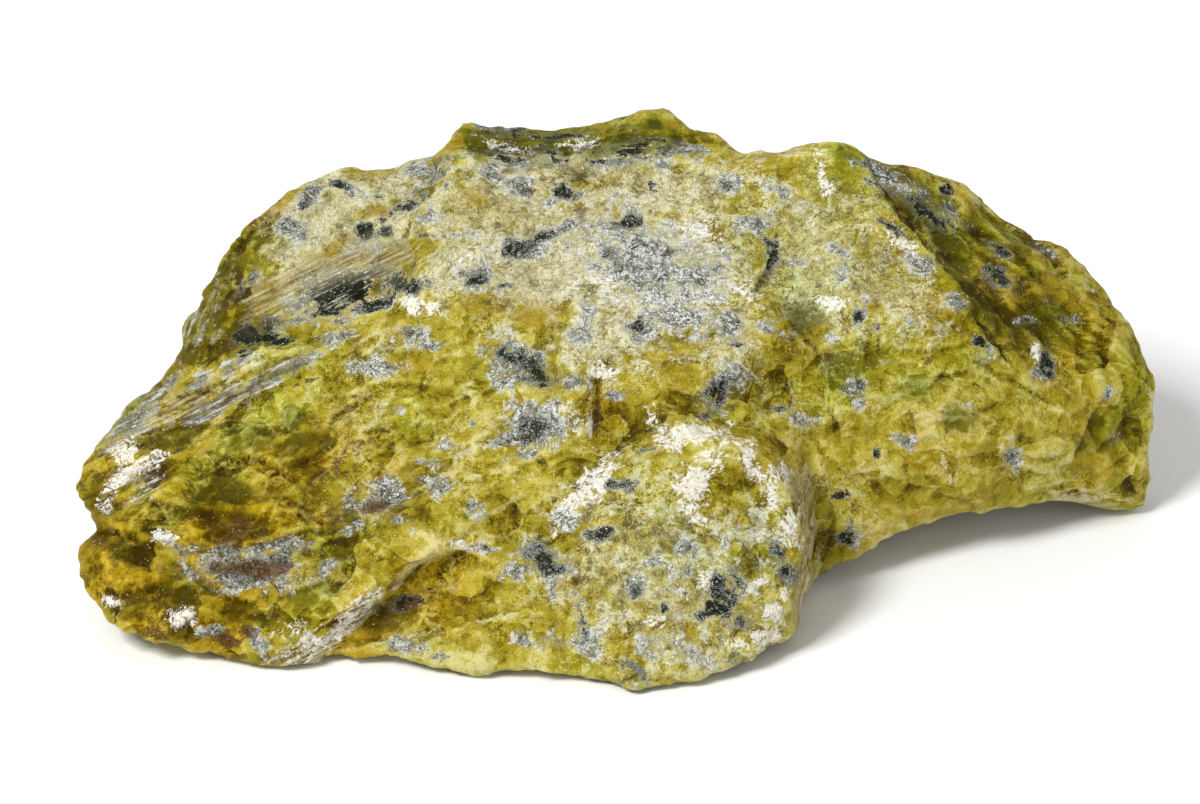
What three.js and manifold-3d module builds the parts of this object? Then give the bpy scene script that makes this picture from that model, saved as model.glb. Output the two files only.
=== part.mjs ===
// Raw serpentine: one broken stone, 100 mm long, resting on its own flat broken face.
//
// Units are millimetres. +X runs along the stone to its blunt end, +Y to its back and +Z up.
// The origin is on the resting face, below the middle of the stone.
//
// The stone is drawn as two reliefs that share one rim. The front relief holds everything seen from
// a little above the front, the back relief holds the rest. Their corner points are joined by a
// Delaunay net, the net is refined, the fracture surface is roughened and the foot is sawn flat.
import * as THREE from "three";
import { ConvexHull } from "three/addons/math/ConvexHull.js";
import { ImprovedNoise } from "three/addons/math/ImprovedNoise.js";
import { mergeVertices } from "three/addons/utils/BufferGeometryUtils.js";
import Module from "manifold-3d";

// The relief plane leans back from upright by LEAN and its zero point stands PLANE_HEIGHT above the foot.
const LEAN = THREE.MathUtils.degToRad(30);
const PLANE_HEIGHT = 15;
const LONGEST_EDGE = 3.1; // after refining
const SPREAD = 1 / 914; // the relief opens out by this much for each millimetre of depth
// The rim is rounded over by rows of points that follow it: inset inwards, drop along the depth, every
// how many points of the rim have one, and gap, the room one needs from the points already there.
const FRONT_ROUNDING = [{ inset: 1.6, drop: -0.9, every: 1, gap: 2.1 }];
const BACK_ROUNDING = [
  { inset: 1.6, drop: 3.8, every: 1, gap: 0.75 },
  { inset: 4.6, drop: 8.8, every: 2, gap: 2.6 },
];
const FRONT_GAP = 0.75; // the room a drawn point needs
const BACK_GAP = 3.2;
const RELAX_SHARE = 0.25; // how far each point moves towards the middle of its neighbours
const COARSE_NOISE = { size: 9, height: 0.55 };
const FINE_NOISE = { size: 3.6, height: 0.3 };
const SAW_BLOCK = { width: 160, depth: 120, height: 40 }; // takes away what is below the foot

// Points of the relief plane: [across, up, depth], depth being positive away from the front.
// The rim runs clockwise from the left tip.
const RIM = [
  // upper left flank
  [-48.5, -8.0, -2.3], [-47.6, -6.2, -1.8], [-45.5, -3.1, -1.0], [-42.7, 0.0, 0.0], [-40.9, 2.0, 0.8],
  [-39.1, 4.0, 1.6], [-37.7, 7.0, 2.9], [-35.6, 10.1, 4.2], [-33.6, 14.1, 5.7], [-31.8, 16.2, 6.5],
  [-28.6, 19.0, 7.5],
  // knob and notch
  [-25.9, 20.7, 8.0], [-23.2, 21.7, 8.3], [-21.0, 21.4, 8.3], [-18.2, 21.9, 8.4], [-15.5, 22.6, 8.3],
  [-13.9, 23.5, 8.0],
  // crown
  [-13.0, 24.7, 7.6], [-11.6, 25.5, 7.3], [-8.2, 25.3, 8.0], [-4.5, 25.0, 8.6], [-0.9, 25.5, 8.4],
  [2.0, 25.9, 8.2], [6.2, 26.1, 8.1], [8.4, 24.5, 8.0], [10.7, 24.4, 7.9], [12.9, 22.9, 7.2],
  [15.5, 22.6, 6.6],
  // second summit and the long right flank
  [18.2, 23.4, 5.6], [20.9, 23.8, 4.8], [24.5, 22.5, 6.6], [28.2, 21.4, 8.0], [31.8, 19.9, 9.4],
  [34.4, 18.7, 10.0], [36.6, 16.9, 10.4], [38.8, 15.8, 10.8], [40.9, 14.7, 10.8], [43.6, 12.9, 10.6],
  [46.3, 10.5, 10.0], [48.5, 7.6, 9.4], [50.1, 4.3, 8.8], [51.1, 1.7, 8.4],
  // blunt right end
  [50.9, -0.3, 8.6], [50.4, -3.0, 9.2], [50.0, -6.2, 10.5], [49.6, -10.0, 11.4], [46.4, -10.2, 11.2],
  // hollow under the right half
  [41.8, -9.1, 6.8], [37.3, -9.6, 4.6], [32.7, -10.4, 2.8], [29.1, -11.2, 1.8], [26.4, -12.5, 1.0],
  [23.2, -14.7, -0.4], [19.8, -16.5, -1.6],
  // foot of the front bulge
  [18.9, -18.5, -5.0], [17.7, -21.4, -10.0], [15.5, -22.9, -12.8], [12.3, -24.2, -14.2],
  [9.1, -25.6, -15.2], [5.9, -25.8, -15.4], [2.9, -26.4, -16.2], [0.0, -25.5, -15.2],
  [-4.5, -25.4, -15.0], [-9.1, -24.8, -14.2],
  // foot of the recess and of the left block
  [-14.5, -24.2, -13.6], [-18.2, -23.9, -13.4], [-23.2, -23.0, -12.2], [-25.5, -23.2, -12.2],
  [-28.2, -24.1, -13.0], [-30.5, -24.3, -12.6], [-33.2, -23.7, -12.0], [-37.3, -23.0, -12.2],
  [-40.9, -22.4, -12.8], [-43.6, -21.3, -12.8],
  // lower lobe, notch and left tip
  [-45.5, -19.4, -10.6], [-46.9, -16.2, -8.0], [-47.1, -13.5, -7.4], [-45.9, -11.0, -5.0],
  [-47.3, -9.6, -3.6],
];

// Corners, ridges and hollows of the front relief, in the same three numbers.
const FRONT = {
  knob: [
    [-29.4, 16.6, 4.6], [-27.0, 19.2, 5.6], [-24.3, 20.6, 6.5], [-21.5, 20.0, 6.6], [-18.8, 20.2, 7.0],
    [-29.3, 13.6, 3.0], [-25.5, 15.5, 3.9], [-22.0, 17.2, 4.9], [-19.2, 16.4, 4.6], [-24.4, 18.2, 5.3],
  ],
  slabEdge: [[-31.0, 10.3, 0.8], [-28.0, 11.3, 1.2], [-25.0, 12.3, 1.6], [-21.5, 13.4, 2.2], [-18.4, 14.4, 2.9]],
  slabFoot: [[-32.4, 8.0, 0.9], [-29.5, 8.0, 1.1], [-26.0, 8.6, 1.6], [-22.5, 9.4, 2.3], [-19.4, 10.4, 2.8]],
  hollow: [[-33.4, 6.0, 0.8], [-30.4, 6.2, 1.2], [-27.4, 6.8, 1.1]],
  groundEdge: [
    [-34.2, 4.3, -0.6], [-31.5, 4.7, -0.9], [-28.2, 5.2, -0.9], [-25.0, 6.4, -0.5], [-22.0, 7.6, -0.1],
    [-19.2, 8.6, 0.2],
  ],
  flankRidge: [
    [-30.8, 12.6, 2.4], [-32.4, 9.8, 1.0], [-34.2, 7.0, 0.1], [-35.6, 4.2, -0.7], [-38.0, 1.6, -1.4],
    [-41.4, -0.8, -2.2], [-44.2, -3.8, -3.0], [-46.0, -6.8, -3.6],
  ],
  notch: [[-14.6, 22.0, 8.1], [-16.0, 19.0, 6.2], [-17.3, 16.0, 4.8], [-18.0, 12.6, 3.4]],
  crownEdge: [[-13.2, 22.9, 5.6], [-14.4, 19.4, 3.0], [-15.8, 16.2, 1.2], [-16.6, 12.8, -0.2], [-16.8, 10.2, -0.9]],
  crownBand: [
    [-9.5, 23.6, 6.6], [-4.0, 23.4, 6.3], [1.5, 23.8, 6.3], [6.0, 23.9, 6.2], [10.0, 22.6, 5.6],
    [-10.0, 21.4, 4.6], [-3.0, 21.2, 4.3], [4.0, 21.6, 4.4], [9.5, 20.6, 4.0], [13.0, 20.4, 4.0],
  ],
  plateau: [
    [-10.0, 16.2, 1.8], [-3.0, 15.6, 1.2], [4.0, 16.2, 1.4], [9.5, 15.4, 1.2], [12.2, 17.6, 2.6],
    [-11.5, 10.6, -1.8], [-5.0, 9.6, -2.8], [2.0, 9.6, -3.3], [8.5, 9.4, -2.9],
    [-12.5, 5.0, -4.4], [-6.5, 3.6, -6.4], [-1.6, 5.0, -6.4],
  ],
  scarpTop: [[13.6, 15.8, 1.2], [14.9, 13.4, -0.3], [14.3, 10.5, -2.0], [16.2, 7.8, -3.4], [18.4, 5.2, -4.6]],
  scarpFoot: [[15.4, 16.0, 2.2], [16.3, 13.2, 1.1], [15.9, 10.4, -0.4], [17.6, 8.2, -1.6], [19.8, 5.2, -2.9]],
  plateauLip: [[-0.9, 1.6, -8.7], [4.4, 1.8, -8.6], [9.6, 3.2, -7.4], [14.0, 5.2, -5.7]],
  fissure: [
    [-0.8, -1.2, -9.3], [-0.9, -4.2, -10.0], [0.4, 1.4, -7.6], [0.4, -1.2, -7.9], [0.6, -3.9, -8.8],
  ],
  band: [[4.6, -2.6, -8.7], [10.4, -1.8, -7.6], [15.6, -2.8, -6.4], [17.6, 1.0, -4.6], [18.6, -3.0, -3.8]],
  bulgeLip: [
    [1.2, -6.4, -11.9], [4.6, -4.4, -12.2], [8.6, -3.5, -12.2], [12.6, -4.2, -11.9], [15.8, -5.6, -11.2],
    [17.4, -8.2, -11.2], [17.9, -12.0, -11.8], [18.0, -15.6, -12.2], [17.3, -18.6, -12.6],
  ],
  cliffFoot: [[19.0, -7.0, -2.8], [19.4, -10.6, -2.2], [19.8, -14.2, -1.9]],
  bulge: [
    [5.5, -9.4, -13.8], [12.0, -9.6, -13.2], [15.6, -12.4, -12.9], [-2.6, -13.8, -13.6], [4.6, -14.6, -14.8],
    [11.2, -15.2, -14.2], [-5.0, -19.4, -14.4], [1.6, -20.6, -15.4], [8.4, -21.0, -15.2], [13.4, -19.6, -14.0],
    [14.8, -21.6, -13.8],
  ],
  leftSlope: [
    [-36.4, 0.2, -1.9], [-30.5, 2.6, -1.8], [-24.5, 4.0, -1.6], [-18.5, 5.2, -2.2],
    [-42.0, -5.0, -3.6], [-36.0, -3.6, -3.9], [-30.0, -1.6, -3.6], [-23.0, 0.2, -3.9], [-16.0, 0.6, -5.0],
    [-42.6, -9.4, -6.0], [-37.0, -8.0, -6.2], [-31.0, -6.2, -6.2], [-25.0, -5.0, -6.6], [-18.5, -4.2, -7.2],
    [-11.0, -1.8, -8.0], [-6.0, -3.8, -9.4],
  ],
  leftBlock: [
    [-44.0, -12.6, -8.0], [-38.4, -12.2, -8.4], [-32.0, -11.0, -8.8], [-25.6, -10.4, -9.6], [-18.8, -9.0, -9.8],
    [-13.0, -7.4, -10.2], [-43.4, -16.4, -10.4], [-38.0, -16.0, -11.2], [-31.0, -15.6, -11.6],
    [-25.0, -15.4, -12.2], [-40.6, -19.4, -12.6], [-34.4, -20.4, -13.2],
  ],
  veinEdge: [
    [-29.6, -22.4, -14.0], [-25.6, -20.8, -14.0], [-22.0, -18.6, -13.6], [-18.6, -16.0, -13.0],
    [-14.8, -13.4, -12.4], [-10.6, -10.8, -11.8], [-6.4, -8.6, -11.4],
  ],
  veinFoot: [
    [-25.4, -22.8, -11.6], [-23.6, -21.4, -10.2], [-20.4, -19.2, -9.6], [-16.8, -16.6, -9.6],
    [-12.6, -14.0, -10.2], [-8.6, -11.4, -10.8],
  ],
  recess: [[-18.6, -20.2, -10.0], [-13.4, -18.4, -10.8], [-9.6, -15.6, -11.8]],
  ledge: [[-20.0, -22.2, -12.4], [-15.0, -21.4, -13.0], [-10.0, -20.0, -13.2]],
  layerEdge: [[-8.0, -15.6, -13.2], [-4.6, -13.0, -13.4], [-2.2, -10.8, -13.0], [0.2, -8.0, -12.6]],
  summitFace: [
    [20.4, 21.0, 4.0], [17.6, 18.8, 2.9], [22.6, 16.4, 1.5], [19.6, 12.6, 0.0], [25.6, 11.8, -0.8],
    [22.4, 7.4, -2.8], [28.8, 8.2, -2.2], [24.4, 3.6, -4.0], [31.0, 4.6, -2.8],
  ],
  summitRidge: [
    [23.8, 21.6, 5.2], [25.4, 18.9, 3.6], [27.4, 16.4, 2.4], [30.2, 13.2, 0.8], [32.2, 10.6, -0.4],
    [34.0, 8.0, -1.2], [36.4, 4.8, -1.2], [39.4, 2.2, -0.2], [42.2, 0.2, 1.4],
  ],
  darkHollow: [[26.2, 19.8, 6.2], [28.6, 17.2, 5.2], [31.8, 13.6, 4.0], [34.2, 10.4, 3.0], [36.6, 7.4, 2.2]],
  darkFace: [
    [31.6, 17.4, 7.6], [35.6, 14.0, 7.0], [38.6, 10.4, 5.8], [41.2, 6.6, 4.9], [40.2, 13.2, 9.2],
    [44.0, 9.4, 8.2], [47.0, 5.6, 7.0], [43.0, 3.4, 4.4],
  ],
  rightFlank: [
    [22.6, -1.4, -3.6], [29.6, -1.4, -2.8], [35.6, -0.8, -1.4], [40.6, -2.6, 1.4],
    [22.2, -8.0, -2.6], [28.6, -6.8, -1.8], [34.6, -6.0, 0.2], [40.4, -6.2, 3.2],
  ],
  endCrease: [[43.2, -4.4, 4.0], [44.8, -1.6, 4.2], [46.6, 1.2, 4.9]],
  endFacet: [[47.8, -1.6, 8.0], [46.4, -6.4, 8.4], [44.2, -8.0, 7.8]],
};

// The back relief, as plain [x, y, z]: three broken faces and the foot. What is below the foot is taken
// off by the saw.
const BACK = {
  foot: [
    [-36, -12, -0.9], [-25, -16, -0.9], [-12, -17, -0.9], [3, -19, -0.9], [10, -14, -0.9], [15, -4, -0.9],
    [24, 6, -0.9], [33, 13, -0.9], [28, 19, -0.9], [13, 22.5, -0.9], [-3, 21, -0.9], [-19, 15, -0.9],
    [-30, 5, -0.9], [-37, -5, -0.9], [-22, -3, -0.9], [-5, 3, -0.9], [11, 8, -0.9],
  ],
  rightFace: [
    [22, 29.6, 18.4], [32.5, 27, 15], [41, 23.6, 12], [46.6, 17.6, 8.4], [24, 28.6, 6], [34, 24.4, 4.6],
    [43, 18.2, 3.6], [47.4, 12.4, 3.4],
  ],
  rightRidge: [[12.5, 28.2, 23.4], [15, 31, 13.6], [17.5, 28.8, 4]],
  middleFace: [[-1, 27.6, 21.4], [5, 30, 13], [-8, 28.4, 11.6], [3, 27.2, 4.4], [-10, 24, 4.2]],
  leftRidge: [[-15.5, 24.6, 23], [-18, 26, 12.2], [-17, 22.6, 4.6]],
  leftFace: [
    [-26, 20.4, 20.6], [-26.5, 20.6, 10.4], [-34, 13.4, 15.6], [-38.4, 6.4, 11.8], [-42.8, -3, 8.8],
    [-31.4, 14, 4.8], [-38.4, 5, 4.4], [-42.4, -5, 4.2],
  ],
};

/** A point of the relief plane in the stone's own frame. */
function fromRelief([across, up, depth]) {
  const spread = 1 + depth * SPREAD;
  const rise = up * spread;
  return new THREE.Vector3(
    across * spread,
    rise * Math.sin(LEAN) + depth * Math.cos(LEAN),
    PLANE_HEIGHT + rise * Math.cos(LEAN) - depth * Math.sin(LEAN),
  );
}

/** [across, up, depth] of a point of the stone's own frame. */
function toRelief([x, y, z]) {
  const height = z - PLANE_HEIGHT;
  const depth = y * Math.cos(LEAN) - height * Math.sin(LEAN);
  const spread = 1 + depth * SPREAD;
  return [x / spread, (y * Math.sin(LEAN) + height * Math.cos(LEAN)) / spread, depth];
}

/** A row of points that follows the rim on its inner side. */
function insetRim({ inset, drop, every }) {
  const row = RIM.map(([across, up, depth], i) => {
    const before = RIM.at(i - 1);
    const after = RIM[(i + 1) % RIM.length];
    const along = new THREE.Vector2(after[0] - before[0], after[1] - before[1]).normalize();
    // The rim is clockwise, so its inner side is on the right of the way along it.
    return [across + along.y * inset, up - along.x * inset, depth + drop];
  });
  return row.filter((_, i) => i % every === 0);
}

/** Whether (across, up) is inside the rim. */
function insideRim(across, up) {
  let inside = false;
  RIM.forEach(([x1, y1], i) => {
    const [x2, y2] = RIM[(i + 1) % RIM.length];
    if (y1 > up !== y2 > up && across < ((x2 - x1) * (up - y1)) / (y2 - y1) + x1) inside = !inside;
  });
  return inside;
}

/** Whether a point sees an edge of the rim under more than a right angle, too near for that edge to stay. */
function crowdsRim([across, up]) {
  return RIM.some(([x1, y1], i) => {
    const [x2, y2] = RIM[(i + 1) % RIM.length];
    return (x1 - across) * (x2 - across) + (y1 - up) * (y2 - up) < 0;
  });
}

/** Adds to kept the points that have room: inside the rim and at least gap from every kept one. */
function addRoomy(kept, points, gap) {
  for (const p of points) {
    const near = kept.some((q) => Math.hypot(p[0] - q[0], p[1] - q[1]) < gap);
    if (!near && insideRim(...p) && !crowdsRim(p)) kept.push(p);
  }
}

/** The rim and then all points of the front relief. */
function frontPoints() {
  const kept = [...RIM];
  addRoomy(kept, Object.values(FRONT).flat(), FRONT_GAP);
  for (const row of FRONT_ROUNDING) addRoomy(kept, insetRim(row), row.gap);
  return kept;
}

/** The rim and then all points of the back relief. */
function backPoints() {
  const kept = [...RIM];
  for (const row of BACK_ROUNDING) addRoomy(kept, insetRim(row), row.gap);
  addRoomy(kept, Object.values(BACK).flat().map(toRelief), BACK_GAP);
  return kept;
}

/** Delaunay triangles of relief points, by the convex hull of the points lifted onto a paraboloid. */
function delaunay(points) {
  const lifted = points.map(([a, u]) => new THREE.Vector3(a, u, (a * a + u * u) / 50));
  const number = new Map(lifted.map((p, i) => [p, i]));
  const triangles = [];
  for (const face of new ConvexHull().setFromPoints(lifted).faces) {
    if (face.normal.z >= 0) continue;
    const corners = [];
    let edge = face.edge;
    do {
      corners.push(number.get(edge.head().point));
      edge = edge.next;
    } while (edge !== face.edge);
    // The hull's lower faces look down, so they are turned to look up, towards the front.
    corners.reverse();
    const middle = [0, 1].map((k) => corners.reduce((s, c) => s + points[c][k], 0) / corners.length);
    if (insideRim(...middle)) triangles.push(corners);
  }
  return triangles;
}

/** The closed net of both reliefs: {points, triangles}. Both begin with the shared rim. */
function closedNet() {
  const points = RIM.map(fromRelief);
  const triangles = [];
  const sides = [
    { flat: frontPoints(), turn: false },
    { flat: backPoints(), turn: true },
  ];
  for (const { flat, turn } of sides) {
    const start = points.length;
    points.push(...flat.slice(RIM.length).map(fromRelief));
    const place = (i) => (i < RIM.length ? i : start + i - RIM.length);
    for (const [a, b, c] of delaunay(flat).map((t) => t.map(place))) {
      triangles.push(turn ? [a, c, b] : [a, b, c]);
    }
  }
  return { points, triangles };
}

/** Splits every edge longer than limit at its middle, until none is left. */
function refined({ points, triangles }, limit) {
  let todo = triangles;
  for (let split = true; split; ) {
    split = false;
    const middles = new Map();
    const middle = (i, j) => {
      const key = i < j ? `${i},${j}` : `${j},${i}`;
      if (!middles.has(key)) {
        points.push(points[i].clone().lerp(points[j], 0.5));
        middles.set(key, points.length - 1);
      }
      return middles.get(key);
    };
    const made = [];
    for (const t of todo) {
      const long = [0, 1, 2].map((k) => points[t[k]].distanceTo(points[t[(k + 1) % 3]]) > limit);
      const count = long.filter(Boolean).length;
      if (count === 0) {
        made.push(t);
        continue;
      }
      split = true;
      // Turned so that the first edge is long and, where two are long, the last is short.
      let k = long.indexOf(true);
      if (count === 2) k = (long.indexOf(false) + 1) % 3;
      const [a, b, c] = [t[k], t[(k + 1) % 3], t[(k + 2) % 3]];
      const ab = middle(a, b);
      if (count === 1) {
        made.push([a, ab, c], [ab, b, c]);
      } else if (count === 2) {
        const bc = middle(b, c);
        made.push([ab, b, bc], [a, ab, c], [ab, bc, c]);
      } else {
        const bc = middle(b, c);
        const ca = middle(c, a);
        made.push([a, ab, ca], [ab, b, bc], [ca, bc, c], [ab, bc, ca]);
      }
    }
    todo = made;
  }
  return { points, triangles: todo };
}

/** Moves each point past the rim's own share of the way to the middle of its neighbours. */
function relaxed({ points, triangles }, share) {
  const sums = points.map(() => new THREE.Vector3());
  const counts = points.map(() => 0);
  for (const t of triangles) {
    for (let k = 0; k < 3; k += 1) {
      sums[t[k]].add(points[t[(k + 1) % 3]]);
      counts[t[k]] += 1;
    }
  }
  const moved = points.map((p, i) => (i < RIM.length ? p : p.clone().lerp(sums[i].divideScalar(counts[i]), share)));
  return { points: moved, triangles };
}

/** A BufferGeometry of the net. */
function geometryOf({ points, triangles }) {
  return new THREE.BufferGeometry().setFromPoints(points).setIndex(triangles.flat());
}

/** Pushes each point along its normal by two layers of noise. */
function roughened(net) {
  const geometry = geometryOf(net);
  geometry.computeVertexNormals();
  const normals = geometry.getAttribute("normal");
  const noise = new ImprovedNoise();
  const points = net.points.map((p, i) => {
    const push = [COARSE_NOISE, FINE_NOISE].reduce(
      (sum, { size, height }) => sum + height * noise.noise(p.x / size, p.y / size, p.z / size),
      0,
    );
    return p.clone().addScaledVector(new THREE.Vector3().fromBufferAttribute(normals, i), push);
  });
  return { points, triangles: net.triangles };
}

/** A manifold-3d solid of a closed geometry. */
function solidOf(wasm, geometry) {
  return new wasm.Manifold(
    new wasm.Mesh({
      numProp: 3,
      vertProperties: new Float32Array(geometry.getAttribute("position").array),
      triVerts: new Uint32Array(geometry.index.array),
    }),
  );
}

/** The block below the foot, closed and with shared corners. */
function sawBlock() {
  const { width, depth, height } = SAW_BLOCK;
  const box = new THREE.BoxGeometry(width, depth, height).translate(0, 0, -height / 2);
  box.deleteAttribute("normal");
  box.deleteAttribute("uv");
  return mergeVertices(box);
}

/** The stone with everything below the foot taken away, centred above the origin. */
async function stoneGeometry() {
  const wasm = await Module();
  wasm.setup();
  const net = roughened(relaxed(refined(closedNet(), LONGEST_EDGE), RELAX_SHARE));
  const sawn = solidOf(wasm, geometryOf(net)).subtract(solidOf(wasm, sawBlock()));
  const mesh = sawn.getMesh();
  const geometry = new THREE.BufferGeometry()
    .setAttribute("position", new THREE.BufferAttribute(mesh.vertProperties, 3))
    .setIndex(new THREE.BufferAttribute(mesh.triVerts, 1));
  geometry.computeBoundingBox();
  const centre = geometry.boundingBox.getCenter(new THREE.Vector3());
  return geometry.translate(-centre.x, -centre.y, 0);
}

const stone = new THREE.Mesh(
  await stoneGeometry(),
  new THREE.MeshStandardMaterial({ color: 0x8f8c35, roughness: 0.55, metalness: 0 }),
);
stone.name = "serpentine_stone";
stone.geometry.computeVertexNormals();

const group = new THREE.Group();
group.add(stone);
export default group;
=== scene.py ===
"""Looks of a raw serpentine stone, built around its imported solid.

The stone is one piece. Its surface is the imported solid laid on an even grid, then worked as arrays:
ledges, cracks, flake scars, laminae and grain push each point along its normal, and the minerals that
show on the surface are written to the mesh as numbers that the finish reads. Lengths inside the classes
are millimetres, because the surface is described in millimetres; meshes are handed over in metres.
"""

import logging
from dataclasses import dataclass, field
from enum import Enum
from itertools import product
from typing import Any, Optional, Sequence, Union

import bmesh
import bpy
import numpy as np
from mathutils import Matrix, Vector


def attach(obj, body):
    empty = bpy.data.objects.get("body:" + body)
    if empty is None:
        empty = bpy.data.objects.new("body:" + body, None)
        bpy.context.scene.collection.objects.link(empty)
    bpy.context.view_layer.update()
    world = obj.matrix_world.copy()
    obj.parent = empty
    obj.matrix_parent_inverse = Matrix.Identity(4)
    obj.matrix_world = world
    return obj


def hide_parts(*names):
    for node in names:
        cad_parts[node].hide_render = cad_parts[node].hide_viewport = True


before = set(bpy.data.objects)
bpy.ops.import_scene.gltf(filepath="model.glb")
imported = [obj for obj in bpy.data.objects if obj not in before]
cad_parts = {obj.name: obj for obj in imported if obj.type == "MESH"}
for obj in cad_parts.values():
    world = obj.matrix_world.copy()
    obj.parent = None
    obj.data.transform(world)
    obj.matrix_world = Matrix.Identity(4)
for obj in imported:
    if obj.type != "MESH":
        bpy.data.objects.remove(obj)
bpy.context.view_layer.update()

LOG = logging.getLogger("serpentine")
MM = 0.001
Array = np.ndarray
Colour = tuple[float, float, float]
Point2 = tuple[float, float]


# ---------------------------------------------------------------------------------------- number fields

CELL_FACTORS = (73856093, 19349663, 83492791)  # large odd numbers, which reach all the bits
SEED_FACTOR = 2654435761
BIT_MIXERS = ((16, 0x7FEB352D), (15, 0x846CA68B))  # how far bits are shifted, and the factor after it
OCTAVE_SHIFT = 17.3  # moves each octave of a noise, so that their cells don't line up
FAR = 1e9  # further than anything here, in any unit


def smoothstep(low: float, high: float, value: Array) -> Array:
    """Goes from 0 at low to 1 at high along 3t^2 - 2t^3.

    Args:
        low: Value where the step starts.
        high: Value where it ends. It may be below low, which turns the step round.
        value: Numbers to step.

    Returns:
        Numbers from 0 to 1.
    """
    t = np.clip((value - low) / (high - low), 0.0, 1.0)
    return t * t * (3.0 - 2.0 * t)


def cell_number(cells: Array, seed: int) -> Array:
    """A repeatable random number for each whole-number cell, by mixing the bits of its coordinates.

    Args:
        cells: Whole numbers, shape (..., 3).
        seed: Picks one of many unrelated patterns.

    Returns:
        Numbers from 0 to 1, shape (...).
    """
    x, y, z = (cells[..., k].astype(np.uint32) * np.uint32(CELL_FACTORS[k]) for k in range(3))
    bits = x ^ y ^ z
    bits ^= np.uint32(seed * SEED_FACTOR % 2**32)
    for shift, factor in BIT_MIXERS:
        bits = (bits ^ (bits >> np.uint32(shift))) * np.uint32(factor)
    return (bits ^ (bits >> np.uint32(16))) / 2.0**32


def value_noise(points: Array, seed: int) -> Array:
    """Smooth noise: each unit cell's eight corner numbers blended with the curve 6t^5 - 15t^4 + 10t^3.

    Args:
        points: Places, shape (n, 3), in units of the noise's size.
        seed: Picks the pattern.

    Returns:
        Numbers from -1 to 1, shape (n,).
    """
    floor = np.floor(points)
    t = points - floor
    blend = t**3 * (t * (t * 6.0 - 15.0) + 10.0)
    cells = floor.astype(np.int64)
    total = np.zeros(len(points))
    for corner in product((0, 1), repeat=3):
        share = np.prod(np.where(np.array(corner) == 1, blend, 1.0 - blend), axis=1)
        total += share * cell_number(cells + np.array(corner), seed)
    return total * 2.0 - 1.0


def layered_noise(points: Array, size: float, seed: int, octaves: int = 4, gain: float = 0.5) -> Array:
    """A sum of value noises, each half the size of the one before and gain times as strong.

    Args:
        points: Places in millimetres, shape (n, 3).
        size: Size of the coarsest noise in millimetres.
        seed: Picks the pattern.
        octaves: How many noises are added.
        gain: Strength of each noise against the one before it.

    Returns:
        Numbers from about -1 to 1, shape (n,).
    """
    total = np.zeros(len(points))
    strength, reach = 1.0, 0.0
    for octave in range(octaves):
        finer = points * (2.0**octave / size) + OCTAVE_SHIFT * octave
        total += strength * value_noise(finer, seed + octave)
        reach += strength
        strength *= gain
    return total / reach


@dataclass(frozen=True)
class Cells:
    """The winning seed point of each place, out of one scattered in each unit cell.

    Attributes:
        offset: From the winner to the place.
        reach: The winner's measure: squared distance, plus its own tilt and head start.
        key: Three numbers from 0 to 1 of the winner's own.
    """

    offset: Array
    reach: Array
    key: Array

    @classmethod
    def around(cls, points: Array, seed: int, tilt: float = 0.0, head_start: float = 0.0) -> "Cells":
        """Finds the seed point with the least measure among the 27 unit cells round each place.

        The measure is the squared distance, plus tilt times the distance along a direction of the
        seed's own, plus head_start times a number of the seed's own. It joins up from cell to cell, so
        it makes hollow facets that meet in sharp ridges.

        Args:
            points: Places, shape (n, 3), in units of the cell size.
            seed: Picks the pattern.
            tilt: How much facets lean their own way.
            head_start: How much facets lie at their own height.

        Returns:
            The winners.
        """
        floor = np.floor(points).astype(np.int64)
        reach = np.full(len(points), FAR)
        offset = np.zeros((len(points), 3))
        key = np.zeros((len(points), 3))
        for step in product((-1, 0, 1), repeat=3):
            cell = floor + np.array(step)
            jitter, own = (
                np.stack([cell_number(cell, seed + k) for k in range(first, first + 3)], axis=1)
                for first in (0, 11)
            )
            away = points - (cell + 0.1 + 0.8 * jitter)
            measure = np.einsum("ij,ij->i", away, away + tilt * (own - 0.5))
            measure += head_start * (own[:, 0] - 0.5)
            closer = measure < reach
            reach[closer] = measure[closer]
            offset[closer] = away[closer]
            key[closer] = own[closer]
        return cls(offset, reach, key)


# ------------------------------------------------------------------------------------ the leaning plane


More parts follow.
